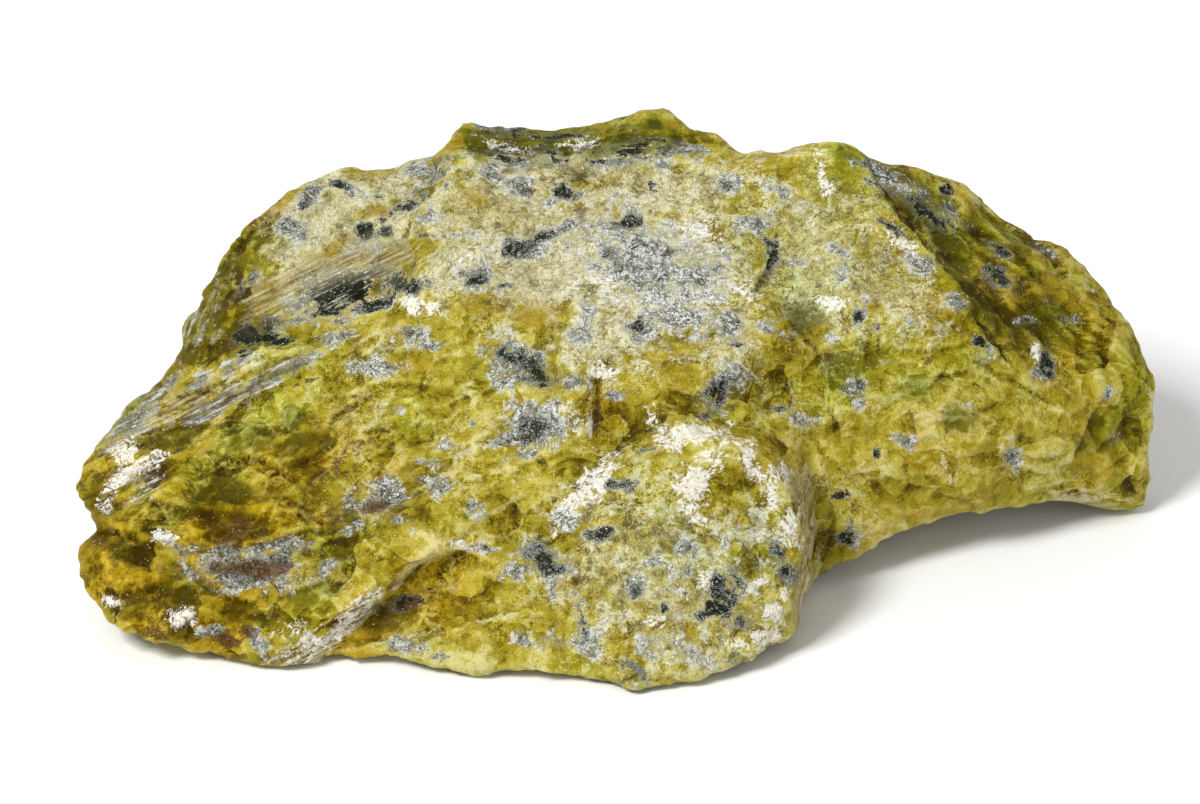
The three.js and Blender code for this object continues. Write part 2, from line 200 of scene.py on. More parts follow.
@dataclass(frozen=True)
class LeaningPlane:
    """The plane that the front face is described on: it leans back from upright, seen from the front.

    Attributes:
        origin: Its zero point in the stone's frame, in millimetres.
        lean: How far it leans back, in radians.
        distance: Distance from which the front is seen; places further back spread out accordingly.
        deepest: Depths from minus this to this are stretched, in millimetres.
        front_depth: Depth in front of which the front scale holds.
        back_depth: Depth behind which the back scale holds.
        steps: How many depths the running sum of the scale is taken at.
    """

    origin: tuple[float, float, float] = (-1.508, -1.693, 15.0)
    lean: float = np.radians(30.0)
    distance: float = 914.0
    deepest: float = 60.0
    front_depth: float = 2.0
    back_depth: float = 16.0
    steps: int = 1201

    @property
    def inward(self) -> Array:
        """Direction of sight, from the front into the stone."""
        return np.array([0.0, np.cos(self.lean), -np.sin(self.lean)])

    @property
    def upward(self) -> Array:
        """Direction that is up on the plane."""
        return np.array([0.0, np.sin(self.lean), np.cos(self.lean)])

    @property
    def axes(self) -> Array:
        """The plane's own axes as rows: across, up and inward."""
        return np.stack([np.array([1.0, 0.0, 0.0]), self.upward, self.inward])

    def stretched(self, points: Array, front: float, back: float, undo: bool = False) -> Array:
        """Stretches space in front and shrinks it behind, or undoes that.

        The scale falls from front to back with depth, between the two depths below. Across and up are
        multiplied by it, and depth becomes its running sum, so small shapes keep their proportions.

        Args:
            points: Places in millimetres.
            front: Scale in front.
            back: Scale behind.
            undo: Whether stretched places are given and plain ones wanted.

        Returns:
            The moved places.
        """
        depths = np.linspace(-self.deepest, self.deepest, self.steps)
        scales = back + (front - back) * smoothstep(self.back_depth, self.front_depth, depths)
        sums = np.cumsum(scales) * (depths[1] - depths[0])
        local = (points - np.array(self.origin)) @ self.axes.T
        depth = np.interp(local[:, 2], sums, depths) if undo else local[:, 2]
        scale = np.interp(depth, depths, scales)[:, None]
        sides = local[:, :2] / scale if undo else local[:, :2] * scale
        depth = depth if undo else np.interp(depth, depths, sums)
        return np.column_stack([sides, depth]) @ self.axes + np.array(self.origin)

    def flatten(self, points: Array) -> tuple[Array, Array, Array]:
        """Across, up and depth of places, drawn together with depth as sight does.

        Args:
            points: Places in millimetres.

        Returns:
            Three arrays of millimetres.
        """
        local = points - np.array(self.origin)
        depth = local @ self.inward
        spread = 1.0 + depth / self.distance
        return local[:, 0] / spread, (local @ self.upward) / spread, depth


PLANE = LeaningPlane()


# ------------------------------------------------------------------------------------------- the marks


class Mineral(Enum):
    """What a mark on the surface is made of. The value is its place among the mesh's mineral numbers."""

    FROST = 0  # pale frosted skin
    CHALK = 1  # white crust
    GREY = 2  # blue-grey mix of white wisps and dark grains
    DARK = 3  # green-black
    BROWN = 4  # rusty brown to purple
    OCHRE = 5  # orange-yellow
    GLASS = 6  # deep, clear green
    FIBRE = 7  # beige fibrous edge of the layers
    LEMON = 8  # bright yellow-green
    AMBER = 9  # clear brown-olive
    MOSS = 10  # full green-olive
    HAZE = 11  # greyish film


@dataclass(frozen=True)
class Ellipse:
    """An ellipse on the leaning plane.

    Attributes:
        across: Its centre across the plane, in millimetres.
        up: Its centre up the plane, in millimetres.
        length: Its half-axis along turn, in millimetres.
        width: Its other half-axis, in millimetres.
        turn: How steeply its length climbs to the right, in degrees.
    """

    across: float
    up: float
    length: float
    width: float
    turn: float

    def half_axes_away(self, across: Array, up: Array) -> Array:
        """How far places are from the centre, counted in half-axes: 1 on the ellipse itself.

        Args:
            across: Places across the plane.
            up: Places up the plane.

        Returns:
            Numbers from 0 up.
        """
        angle = np.radians(self.turn)
        x, y = across - self.across, up - self.up
        along = (x * np.cos(angle) + y * np.sin(angle)) / self.length
        aside = (y * np.cos(angle) - x * np.sin(angle)) / self.width
        return np.hypot(along, aside)


RAGGEDNESS = 0.7  # how far noise moves a mark's rim in or out, in half-axes


@dataclass(frozen=True)
class Mark(Ellipse):
    """A soft ellipse of one mineral.

    Attributes:
        mineral: What it's made of.
        strength: How much of it there is in the middle.
        fade: How many half-axes out there is nothing left of it.
    """

    mineral: Mineral
    strength: float = 1.0
    fade: float = 2.1

    @property
    def reach(self) -> float:
        """How far from its centre anything of it may show, in millimetres."""
        return (self.fade + RAGGEDNESS) * max(self.length, self.width)

    def cover(self, across: Array, up: Array, ragged: Array) -> Array:
        """How much of the mineral is at each place: most in the middle, fading outwards.

        Args:
            across: Places across the plane.
            up: Places up the plane.
            ragged: Noise that moves the rim in and out.

        Returns:
            Numbers from 0 to strength.
        """
        return self.strength * smoothstep(self.fade, 0.0, self.half_axes_away(across, up) + ragged)


FROST, CHALK, GREY, DARK, BROWN, OCHRE, GLASS, FIBRE, LEMON, AMBER, MOSS, HAZE = Mineral

# one group to each region of the front
MARKS: dict[str, tuple[Mark, ...]] = {
    "tones": (
        Mark(4.0, 12.0, 11.0, 7.0, -10, HAZE, 0.75), Mark(5.0, 11.0, 8.0, 6.0, -10, CHALK, 0.16),
        Mark(-8.0, 13.0, 8.0, 6.0, 0, HAZE, 0.65), Mark(5.0, -15.0, 10.0, 8.0, 0, HAZE, 0.5),
        Mark(10.0, -17.0, 9.0, 6.0, 10, GREY, 0.3), Mark(-24.0, 16.5, 6.0, 4.0, 20, HAZE, 0.6),
        Mark(-25.0, 10.0, 8.0, 3.0, 18, HAZE, 0.7), Mark(-32.0, 2.0, 11.0, 2.4, 26, HAZE, 0.35),
        Mark(-2.0, 21.4, 13.0, 1.2, 0, HAZE, 0.7), Mark(10.0, 20.0, 5.0, 3.0, -10, HAZE, 0.6),
        Mark(20.0, 13.0, 7.0, 8.0, 0, HAZE, 0.6), Mark(27.0, 10.0, 5.0, 4.0, -20, HAZE, 0.5),
        Mark(12.0, 5.0, 4.0, 3.0, -30, HAZE, 0.6), Mark(0.0, -9.0, 5.0, 4.0, 40, HAZE, 0.4),
        Mark(-20.0, 4.0, 5.0, 3.0, 0, HAZE, 0.4), Mark(30.0, -6.0, 13.0, 7.0, 0, LEMON, 1.05),
        Mark(44.0, 2.0, 4.0, 6.0, 0, LEMON, 1.0), Mark(-14.0, -19.0, 6.0, 4.0, 10, LEMON),
        Mark(8.0, -0.5, 6.0, 2.0, 0, LEMON, 0.15), Mark(-30.0, -1.0, 8.0, 3.0, 20, LEMON, 0.5),
        Mark(-32.0, 0.0, 9.0, 3.0, 20, HAZE, 0.3), Mark(-13.0, -6.0, 10.0, 7.0, 20, LEMON, 0.6),
        Mark(-42.0, -3.0, 5.0, 2.4, 40, HAZE, 0.6), Mark(27.0, 19.0, 6.0, 1.4, -35, HAZE, 0.3),
        Mark(11.0, -20.0, 6.0, 3.0, -10, HAZE, 0.4), Mark(-16.0, 0.0, 7.0, 4.0, 0, LEMON, 0.5),
        Mark(-14.0, -1.0, 8.0, 5.0, 0, HAZE, 0.35), Mark(-10.0, -2.0, 5.0, 4.0, 0, LEMON, 0.35),
        Mark(-22.0, 7.0, 3.0, 1.6, 0, LEMON, 0.9), Mark(-15.0, -11.0, 6.0, 4.0, 30, LEMON, 0.3),
        Mark(5.0, -15.0, 12.0, 10.0, 0, LEMON, 0.4), Mark(25.0, -4.0, 8.0, 5.0, 0, LEMON, 0.6),
        Mark(36.0, -2.0, 7.0, 4.0, 0, LEMON, 0.5), Mark(20.0, 14.0, 8.0, 9.0, 0, LEMON, 0.6),
        Mark(27.0, 10.0, 6.0, 5.0, -20, LEMON, 0.6), Mark(44.0, 3.0, 3.0, 3.5, 0, LEMON, 0.9),
        Mark(39.0, 3.0, 4.0, 3.0, 0, LEMON, 0.5), Mark(-28.0, -20.0, 5.0, 1.2, -5, LEMON, 0.7),
        Mark(2.0, -12.0, 6.0, 4.0, 0, LEMON, 0.5), Mark(-5.0, -17.0, 3.0, 4.0, 0, LEMON, 0.4),
        Mark(-11.0, 8.0, 3.6, 2.6, 0, LEMON, 0.7), Mark(1.5, -1.0, 3.4, 2.4, 0, AMBER, 0.2),
        Mark(8.0, 1.0, 7.0, 4.0, 0, LEMON, 0.15), Mark(18.5, 1.5, 3.6, 4.0, 0, AMBER, 0.2),
        Mark(18.0, -9.0, 3.0, 6.0, 0, AMBER, 0.3), Mark(35.0, 10.0, 7.0, 4.0, -38, AMBER, 0.7),
        Mark(42.0, 9.0, 4.5, 4.0, -40, AMBER, 0.6), Mark(-36.0, -14.0, 12.0, 9.0, 0, AMBER, 0.88),
        Mark(-36.0, -14.0, 11.0, 9.0, 0, GLASS, 0.36), Mark(-20.0, -19.0, 8.0, 4.0, 20, AMBER, 0.7),
        Mark(48.0, -2.0, 4.0, 8.0, 0, AMBER, 0.5), Mark(-32.0, 14.0, 4.0, 5.0, 40, MOSS, 0.6),
        Mark(-35.5, 11.0, 3.0, 8.0, -38, GLASS, 0.8), Mark(-36.5, 10.0, 4.0, 9.0, -38, AMBER, 0.6),
        Mark(-41.0, 3.4, 2.0, 8.0, -42, GLASS, 0.8), Mark(-41.0, 3.4, 2.4, 8.0, -42, AMBER, 0.6),
        Mark(-46.4, -12.0, 2.0, 5.0, 0, GLASS, 0.9), Mark(-45.0, -12.0, 3.0, 8.0, 0, AMBER),
        Mark(-34.0, -3.0, 7.0, 2.4, 0, MOSS, 0.35), Mark(-38.0, -17.0, 6.0, 4.0, 0, GLASS, 0.4),
        Mark(-30.0, -4.0, 12.0, 5.0, 15, MOSS, 0.25), Mark(30.0, 3.0, 6.0, 4.0, 0, MOSS, 0.5),
        Mark(31.0, 13.0, 5.0, 2.4, -45, MOSS, 0.7), Mark(41.6, 10.0, 5.0, 3.6, -40, AMBER, 0.65),
        Mark(37.6, 12.8, 2.8, 1.7, -10, LEMON, 0.6), Mark(43.0, 8.6, 2.0, 3.4, -40, LEMON, 0.4),
        Mark(39.0, 3.6, 4.0, 1.6, -30, LEMON, 0.3), Mark(-26.0, -4.0, 5.0, 2.4, 20, MOSS, 0.35),
        Mark(22.0, 2.5, 4.0, 2.6, 0, MOSS, 0.5), Mark(12.0, 14.0, 3.0, 3.0, 0, MOSS, 0.4),
        Mark(-30.0, 8.0, 5.0, 2.0, 40, MOSS, 0.4), Mark(8.0, -14.0, 6.0, 5.0, 0, MOSS, 0.4),
        Mark(24.0, 22.0, 3.0, 1.0, -25, MOSS, 0.7), Mark(35.0, 11.0, 13.0, 5.0, -38, MOSS, 0.45),
        Mark(46.0, -3.0, 4.0, 8.0, 0, MOSS, 0.35), Mark(46.5, -3.0, 3.0, 7.0, 0, LEMON, 0.15),
        Mark(22.0, 13.0, 8.0, 9.0, 0, MOSS, 0.5), Mark(5.0, -14.0, 11.0, 9.0, 0, MOSS, 0.3),
        Mark(6.0, 0.0, 11.0, 3.0, 0, MOSS, 0.3), Mark(-34.0, -2.0, 9.0, 4.0, 20, MOSS, 0.2),
        Mark(-15.0, -19.5, 5.0, 2.0, 30, LEMON, 0.45), Mark(38.0, 8.0, 9.0, 4.0, -38, LEMON, 0.22),
    ),
    "knob": (
        Mark(-24.3, 14.1, 2.4, 0.9, 24, OCHRE, 0.8), Mark(-24.3, 14.1, 2.6, 1.0, 24, GLASS, 0.45),
        Mark(-20.4, 17.4, 1.7, 0.7, 12, OCHRE, 0.8), Mark(-20.4, 17.4, 1.6, 0.6, 12, GLASS, 0.7),
        Mark(-20.6, 21.2, 2.4, 0.6, 0, OCHRE, 0.8), Mark(-20.6, 21.2, 2.4, 0.7, 0, GLASS, 0.55),
        Mark(-28.8, 18.9, 4.0, 0.8, 40, OCHRE, 0.6), Mark(-28.8, 18.9, 4.0, 0.9, 40, GLASS, 0.55),
        Mark(-8.6, 17.2, 3.6, 1.8, -10, OCHRE, 0.6), Mark(-25.0, 17.5, 5.4, 3.4, 30, FROST),
        Mark(-26.8, 14.0, 3.6, 2.4, 0, FROST), Mark(-23.0, 13.4, 5.0, 1.2, 18, FROST, 0.8),
        Mark(-20.0, 19.2, 3.4, 1.4, 12, FROST), Mark(-18.0, 17.4, 1.6, 2.6, -20, FROST, 0.8),
        Mark(-23.9, 19.9, 0.9, 0.4, -10, DARK), Mark(-22.9, 19.3, 1.0, 0.6, -20, GREY),
        Mark(-27.2, 17.7, 1.1, 0.5, 35, DARK, 0.7), Mark(-26.5, 18.7, 1.0, 0.7, 35, GREY),
        Mark(-28.5, 16.2, 1.1, 0.8, 40, GREY), Mark(-27.2, 15.2, 0.9, 0.5, 20, GREY),
        Mark(-21.5, 15.5, 1.1, 0.7, -20, DARK), Mark(-22.5, 14.9, 0.9, 0.4, 0, DARK, 0.8),
        Mark(-19.6, 15.2, 0.9, 0.7, 0, DARK), Mark(-19.8, 16.6, 0.7, 0.3, 0, DARK, 0.8),
        Mark(-17.7, 18.0, 1.3, 0.6, 35, DARK), Mark(-16.5, 19.0, 0.8, 0.6, 0, DARK, 0.8),
        Mark(-20.4, 18.7, 0.9, 0.25, 10, DARK, 0.7), Mark(-21.6, 14.9, 2.2, 1.1, -5, GREY, 0.6),
        Mark(-30.8, 15.0, 1.2, 3.2, -22, GLASS, 0.6), Mark(-32.4, 12.0, 1.6, 2.2, -30, GLASS, 0.6),
        Mark(-31.4, 16.8, 3.4, 0.9, 45, BROWN, 0.35), Mark(-26.6, 20.2, 2.2, 0.6, 35, BROWN, 0.3),
        Mark(-18.4, 21.3, 1.4, 0.5, 15, OCHRE, 0.6), Mark(-16.2, 21.1, 1.5, 1.0, -20, GREY),
        Mark(-14.6, 21.2, 0.9, 1.3, 10, DARK, 0.6), Mark(-32.1, 11.2, 1.3, 0.5, 38, GREY),
        Mark(-33.0, 10.0, 1.1, 0.35, 42, DARK, 0.7),
    ),
    "slab": (
        Mark(-24.5, 12.2, 7.2, 1.15, 18, FIBRE), Mark(-30.2, 9.2, 3.2, 1.3, 24, FIBRE),
        Mark(-19.6, 13.3, 2.2, 1.5, 20, FIBRE), Mark(-35.0, 6.0, 1.2, 0.6, 55, FIBRE, 0.6),
        # green-black marks below the slab's edge: partly dark mineral, partly painted shade of the hollow
        # under it
        Mark(-23.2, 10.5, 3.0, 1.3, 14, DARK, 1.3), Mark(-24.6, 8.2, 1.8, 0.6, 10, DARK),
        Mark(-20.5, 9.0, 1.7, 0.5, 20, DARK), Mark(-21.6, 12.0, 1.2, 0.4, 5, DARK, 0.7),
        Mark(-17.9, 11.8, 1.0, 0.25, 10, DARK), Mark(-17.6, 10.8, 1.6, 0.7, -8, DARK),
        Mark(-21.0, 10.0, 0.7, 0.6, 0, OCHRE), Mark(-27.0, 9.4, 2.4, 1.0, 20, GREY, 0.8),
        Mark(-28.6, 7.5, 2.3, 0.6, 5, GREY), Mark(-24.4, 9.2, 3.6, 1.8, 12, GREY, 0.7),
        # dark glass at the slab's left end: partly its own colour, partly painted shade of the hollow there
        Mark(-32.8, 6.2, 2.4, 1.3, 30, GLASS, 1.7), Mark(-32.8, 6.2, 2.4, 1.3, 30, AMBER),
        Mark(-31.9, 6.3, 1.6, 0.9, 32, DARK), Mark(-29.8, 5.7, 1.8, 0.3, 0, DARK, 0.7),
        Mark(-29.4, 5.7, 2.4, 0.5, 0, GLASS), Mark(-28.6, 5.5, 1.2, 0.2, 2, DARK, 0.7),
        Mark(-33.9, 5.0, 0.9, 0.4, 55, BROWN, 0.45),
    ),
    "shear": (
        Mark(-27.5, 3.7, 2.6, 0.7, 22, GREY), Mark(-24.4, 5.8, 1.8, 0.5, 15, GREY),
        Mark(-31.5, 1.5, 4.0, 0.6, 28, GREY), Mark(-35.2, 0.2, 3.0, 0.4, 25, GREY),
        Mark(-36.6, 1.9, 1.2, 0.5, 40, GREY, 0.7), Mark(-39.3, 1.8, 1.2, 0.4, 32, GREY, 0.7),
        Mark(-23.8, 7.4, 1.2, 0.5, 0, GREY), Mark(-17.4, 9.0, 1.9, 0.5, -12, CHALK),
        Mark(-19.3, 8.9, 0.9, 0.4, 0, CHALK, 0.8), Mark(-17.4, 6.3, 1.4, 0.7, 0, GREY),
        Mark(-20.3, 3.2, 2.2, 0.7, -5, GREY), Mark(-15.8, 5.2, 1.0, 0.5, 0, GREY),
        Mark(-33.3, 0.6, 1.8, 0.2, 25, BROWN, 0.9), Mark(-28.0, 1.3, 2.6, 0.2, 20, BROWN, 0.8),
        Mark(-31.6, 4.0, 1.6, 0.6, 10, FROST, 0.5), Mark(-33.6, 3.2, 1.3, 0.6, 30, GREY, 0.7),
        Mark(-28.4, 2.9, 1.8, 0.35, 20, DARK, 0.6), Mark(-39.0, -0.4, 5.0, 0.7, 28, FIBRE, 0.7),
        Mark(-33.5, 1.0, 6.0, 0.6, 24, FIBRE, 0.6), Mark(-43.4, -2.4, 2.6, 0.8, 40, GREY, 0.8),
        Mark(-36.2, -1.0, 1.7, 0.6, 20, GREY), Mark(-37.4, 7.6, 1.8, 5.6, -38, FIBRE, 0.5),
        Mark(-37.4, 7.6, 1.8, 5.6, -38, GREY, 0.25), Mark(-37.0, 7.6, 2.4, 7.0, -38, GLASS),
        Mark(-41.6, 1.4, 1.6, 4.4, -45, FIBRE, 0.5), Mark(-41.6, 1.4, 1.6, 4.4, -45, GREY, 0.25),
        Mark(-41.2, 1.4, 2.0, 5.0, -45, GLASS),
    ),
    "left slope": (
        Mark(-43.4, -4.4, 1.1, 0.9, 40, CHALK), Mark(-41.8, -5.7, 2.2, 0.5, 25, CHALK),
        Mark(-44.2, -7.7, 1.5, 0.8, 45, CHALK), Mark(-44.9, -9.0, 0.7, 0.5, 60, CHALK, 0.8),
        Mark(-45.4, -6.4, 1.2, 1.4, 30, BROWN, 0.5), Mark(-36.0, -4.3, 1.2, 0.5, 22, OCHRE),
        Mark(-38.4, -5.0, 0.9, 0.3, 0, OCHRE, 0.8), Mark(-16.5, 3.2, 1.8, 1.0, 0, OCHRE, 0.7),
        Mark(-27.5, -4.2, 2.4, 1.2, 25, GLASS), Mark(-32.0, -3.4, 2.3, 1.1, 5, GLASS),
        Mark(-39.0, -3.2, 2.8, 1.1, 5, GLASS, 0.9), Mark(-28.0, -1.5, 1.3, 1.0, 0, GLASS, 0.9),
        Mark(-25.3, -3.9, 1.0, 0.7, 20, GLASS), Mark(-34.8, -8.6, 2.4, 1.3, 10, GLASS, 0.8),
        Mark(-37.4, -9.6, 2.2, 1.1, 0, GLASS, 0.8), Mark(-24.6, -1.4, 2.0, 1.4, -10, GLASS, 0.6),
        Mark(-20.0, -1.6, 1.6, 0.9, 20, FROST, 0.5), Mark(-24.0, -6.0, 2.2, 1.3, 35, BROWN, 0.45),
        Mark(-26.8, -8.4, 1.8, 1.5, 0, BROWN, 0.45), Mark(-22.7, -4.3, 1.0, 0.8, 0, BROWN, 0.5),
        Mark(-26.4, -11.8, 0.8, 1.6, 0, BROWN, 0.4), Mark(-33.6, -11.6, 1.7, 1.2, 10, BROWN, 0.7),
        Mark(-33.4, -11.5, 3.0, 1.4, 5, GLASS, 0.9), Mark(-20.2, -9.0, 2.7, 1.3, 15, GREY),
        Mark(-20.8, -9.8, 1.2, 0.5, 5, BROWN), Mark(-18.6, -10.8, 2.2, 0.6, -20, GREY, 0.7),
        Mark(-22.3, -11.4, 1.7, 0.5, 30, GREY, 0.7), Mark(-20.0, -8.3, 1.8, 0.6, 15, CHALK, 0.6),
        Mark(-14.6, -7.4, 1.0, 1.3, 0, GREY, 0.7), Mark(-15.0, -5.7, 1.3, 0.4, -5, GREY, 0.7),
        Mark(-16.8, -6.8, 0.8, 0.5, 20, GREY, 0.8), Mark(-11.2, -9.6, 0.9, 0.6, -20, GREY, 0.7),
        Mark(-10.8, -13.3, 1.4, 0.4, -12, GREY, 0.9), Mark(-12.8, -13.0, 0.8, 0.3, -12, CHALK, 0.7),
        Mark(-18.5, -0.8, 0.7, 0.5, 0, GREY, 0.8), Mark(-11.2, -2.0, 0.5, 0.4, 0, DARK, 0.5),
        Mark(-14.0, -4.2, 1.4, 0.6, 0, GREY, 0.5),
    ),
    "left block": (
        Mark(-31.3, -15.3, 3.0, 0.8, -2, BROWN), Mark(-31.6, -15.4, 4.0, 1.5, -3, GREY, 1.2),
        Mark(-28.3, -13.3, 1.9, 0.9, 0, GREY), Mark(-26.3, -16.0, 1.7, 0.6, 25, GREY, 0.9),
        Mark(-28.9, -17.4, 1.0, 0.4, -20, GREY, 0.8), Mark(-24.8, -14.8, 0.9, 0.4, 0, GREY, 0.8),
        Mark(-38.3, -19.8, 1.0, 0.7, 0, CHALK), Mark(-44.7, -18.2, 0.8, 0.4, -20, CHALK),
        Mark(-39.9, -12.3, 1.0, 0.4, -20, CHALK, 0.9), Mark(-38.7, -13.2, 0.9, 0.4, -30, GREY),
        Mark(-35.8, -20.9, 1.1, 0.4, 10, GREY), Mark(-31.2, -22.0, 1.2, 0.6, -45, GREY),
        Mark(-28.8, -20.8, 1.3, 0.5, 20, CHALK, 0.6), Mark(-44.0, -13.8, 1.9, 1.2, 0, GLASS),
        Mark(-38.2, -17.6, 2.8, 1.6, 0, GLASS), Mark(-33.0, -19.4, 2.6, 1.1, -10, GLASS),
        Mark(-26.5, -17.6, 2.6, 1.2, 20, GLASS, 0.8), Mark(-43.4, -11.2, 1.7, 1.0, 0, OCHRE, 0.4),
        Mark(-40.8, -15.0, 1.7, 0.8, -20, OCHRE, 0.3), Mark(-42.3, -18.6, 2.0, 1.1, 20, GLASS, 0.8),
        Mark(-40.5, -21.3, 1.5, 0.7, 0, BROWN, 0.7), Mark(-34.0, -22.0, 1.7, 0.6, -15, BROWN),
        Mark(-32.4, -21.3, 0.8, 0.6, 0, BROWN, 0.8), Mark(-45.4, -15.6, 0.8, 0.6, 0, OCHRE, 0.5),
        Mark(-46.9, -7.6, 0.8, 1.2, 20, BROWN, 0.7), Mark(-47.6, -8.6, 0.8, 0.6, 0, OCHRE, 0.8),
        Mark(-37.0, -22.2, 4.4, 0.5, -8, OCHRE, 0.5), Mark(-28.0, -19.2, 3.2, 0.8, -8, OCHRE, 0.4),
        Mark(-42.0, -7.6, 1.6, 1.2, 20, GREY, 0.5),
    ),
    "vein": (
        Mark(-26.4, -22.4, 3.6, 0.9, 27, FIBRE), Mark(-21.4, -18.8, 3.2, 0.9, 44, FIBRE),
        Mark(-16.9, -15.0, 2.2, 0.4, 40, FIBRE), Mark(-12.0, -11.7, 3.6, 0.16, 35, FIBRE, 0.8),
        Mark(-8.4, -9.2, 2.8, 0.14, 26, FIBRE, 0.8), Mark(-21.6, -18.4, 2.6, 0.4, 42, FROST),
        Mark(-27.4, -23.6, 2.4, 0.4, 15, FROST, 0.8), Mark(-22.6, -19.4, 3.2, 0.7, 42, CHALK, 0.85),
        # the glass, amber, brown and green-black marks round (-19, -19) lie in the recess under the vein
        # edge: partly their own colour, partly painted shade of the recess
        Mark(-26.6, -22.2, 2.6, 0.8, 30, CHALK, 0.75), Mark(-19.2, -19.4, 3.6, 1.3, 20, GLASS),
        Mark(-19.2, -19.4, 3.8, 1.5, 20, AMBER), Mark(-19.4, -19.2, 3.4, 1.4, 15, BROWN, 0.35),
        Mark(-17.2, -18.3, 1.3, 0.6, 20, BROWN, 0.4), Mark(-22.6, -21.4, 1.8, 0.9, 30, OCHRE, 0.8),
        Mark(-17.9, -18.4, 1.4, 0.5, 15, DARK), Mark(-17.5, -21.4, 4.5, 0.25, 10, FROST, 0.9),
        Mark(-11.0, -19.9, 2.6, 0.22, 14, FROST, 0.9), Mark(-17.4, -22.4, 2.0, 0.7, -10, GREY, 0.8),
        Mark(-15.0, -23.0, 1.0, 0.6, 0, DARK, 0.7), Mark(-21.4, -23.2, 2.8, 0.5, 0, OCHRE),
        Mark(-13.4, -17.2, 2.6, 1.2, 20, OCHRE, 0.5), Mark(-13.6, -16.8, 0.9, 0.5, 0, DARK, 0.4),
        Mark(-10.0, -12.0, 3.2, 1.6, 20, OCHRE, 0.4), Mark(-9.0, -18.4, 2.4, 1.6, 0, OCHRE, 0.4),
    ),
    "crown": (
        Mark(-8.0, 24.4, 5.4, 0.7, 0, GLASS), Mark(3.0, 24.6, 4.0, 1.0, 0, GLASS),
        Mark(-10.4, 23.0, 3.4, 0.7, -4, GLASS), Mark(1.4, 23.4, 3.8, 1.0, 2, GLASS),
        Mark(2.8, 22.9, 2.4, 0.5, 0, DARK, 0.65), Mark(-3.5, 22.2, 2.6, 0.5, 0, DARK, 0.65),
        Mark(-7.6, 24.3, 4.6, 0.4, 0, DARK, 0.5), Mark(-9.4, 22.4, 2.2, 0.3, -3, DARK, 0.7),
        Mark(-4.4, 23.9, 1.8, 0.4, 0, GLASS), Mark(4.0, 25.2, 3.0, 0.7, 0, GLASS, 0.8),
        Mark(9.6, 24.1, 1.4, 0.5, -20, GLASS, 0.9), Mark(12.0, 22.6, 1.2, 0.6, -35, OCHRE, 0.6),
        Mark(-1.7, 23.6, 1.5, 0.5, 10, CHALK, 0.7), Mark(-8.2, 23.3, 2.0, 0.4, -12, CHALK, 0.8),
        Mark(7.2, 23.1, 2.6, 0.6, -3, GREY), Mark(-4.0, 23.6, 9.0, 1.6, 0, GLASS, 1.3),
        Mark(-8.6, 23.0, 2.0, 0.3, -6, DARK, 0.6), Mark(4.6, 23.6, 2.6, 0.35, 4, DARK, 0.7),
        Mark(-1.0, 22.7, 2.0, 0.25, 3, DARK, 0.6), Mark(-6.0, 22.9, 3.2, 0.18, -4, GREY, 0.8),
        Mark(1.0, 23.2, 2.8, 0.16, 2, GREY, 0.8), Mark(-9.6, 23.8, 1.4, 0.2, -20, CHALK, 0.9),
        Mark(2.6, 22.4, 1.8, 0.15, 4, CHALK, 0.8), Mark(-5.6, 23.3, 1.8, 0.18, -8, DARK, 0.7),
        Mark(-3.6, 24.2, 2.4, 0.16, 2, GREY, 0.7), Mark(-4.0, 24.6, 7.0, 0.8, 0, AMBER, 0.6),
        Mark(-6.0, 23.6, 12.0, 2.0, 0, MOSS, 0.8), Mark(-0.2, 25.1, 0.9, 0.5, 0, OCHRE),
        Mark(6.4, 25.4, 1.3, 0.4, -20, OCHRE), Mark(-13.6, 23.4, 0.7, 1.3, -35, OCHRE),
        Mark(-14.9, 22.4, 1.3, 0.4, 22, OCHRE), Mark(-10.0, 25.2, 2.8, 0.35, -4, GREY, 0.8),
        Mark(2.0, 21.8, 6.0, 0.4, 0, GREY, 0.5), Mark(3.0, 24.4, 5.0, 1.4, 0, MOSS, 0.8),
        Mark(-9.0, 21.7, 4.0, 0.5, 0, GREY, 0.6), Mark(16.6, 22.8, 3.8, 0.5, 9, FIBRE, 0.8),
    ),
    "plateau": (
        Mark(-9.0, 18.0, 6.0, 3.6, 0, FROST), Mark(-4.0, 12.4, 7.6, 3.8, 0, FROST),
        Mark(5.0, 13.0, 8.0, 5.4, 0, FROST), Mark(0.0, 5.6, 5.0, 3.4, 0, FROST, 0.8),
        Mark(4.0, 19.0, 6.0, 2.0, 0, FROST, 0.8), Mark(-13.6, 12.6, 2.6, 3.0, 0, FROST),
        Mark(-14.4, 17.4, 1.6, 2.4, -20, FROST), Mark(4.0, 13.2, 5.0, 3.2, -25, GREY),
        Mark(8.5, 15.3, 2.0, 1.0, 0, CHALK, 0.7), Mark(2.2, 11.8, 2.4, 1.0, -20, GREY),
        Mark(7.2, 7.6, 3.0, 1.5, -20, GREY), Mark(5.0, 10.0, 4.5, 2.0, -10, GREY, 0.8),
        Mark(9.4, 12.4, 2.6, 1.6, -30, GREY, 0.7), Mark(0.9, 11.1, 1.3, 0.7, -10, CHALK, 0.9),
        Mark(3.4, 9.0, 2.4, 0.9, -20, CHALK, 0.6), Mark(9.0, 9.6, 2.0, 0.9, -10, CHALK, 0.6),
        Mark(-1.2, 10.4, 1.6, 0.7, 0, CHALK, 0.5), Mark(0.4, 14.6, 2.0, 0.6, 10, CHALK, 0.5),
        Mark(-12.6, 12.8, 1.6, 0.5, 20, CHALK, 0.5), Mark(7.4, 7.4, 1.6, 0.8, -20, CHALK, 0.8),
        Mark(8.2, 15.6, 1.4, 0.5, -20, CHALK, 0.8), Mark(-7.4, 19.5, 1.5, 0.8, -15, GREY),
        Mark(-6.9, 19.4, 0.8, 0.4, -15, DARK, 0.7), Mark(-6.1, 19.1, 0.9, 0.3, -10, BROWN, 0.7),
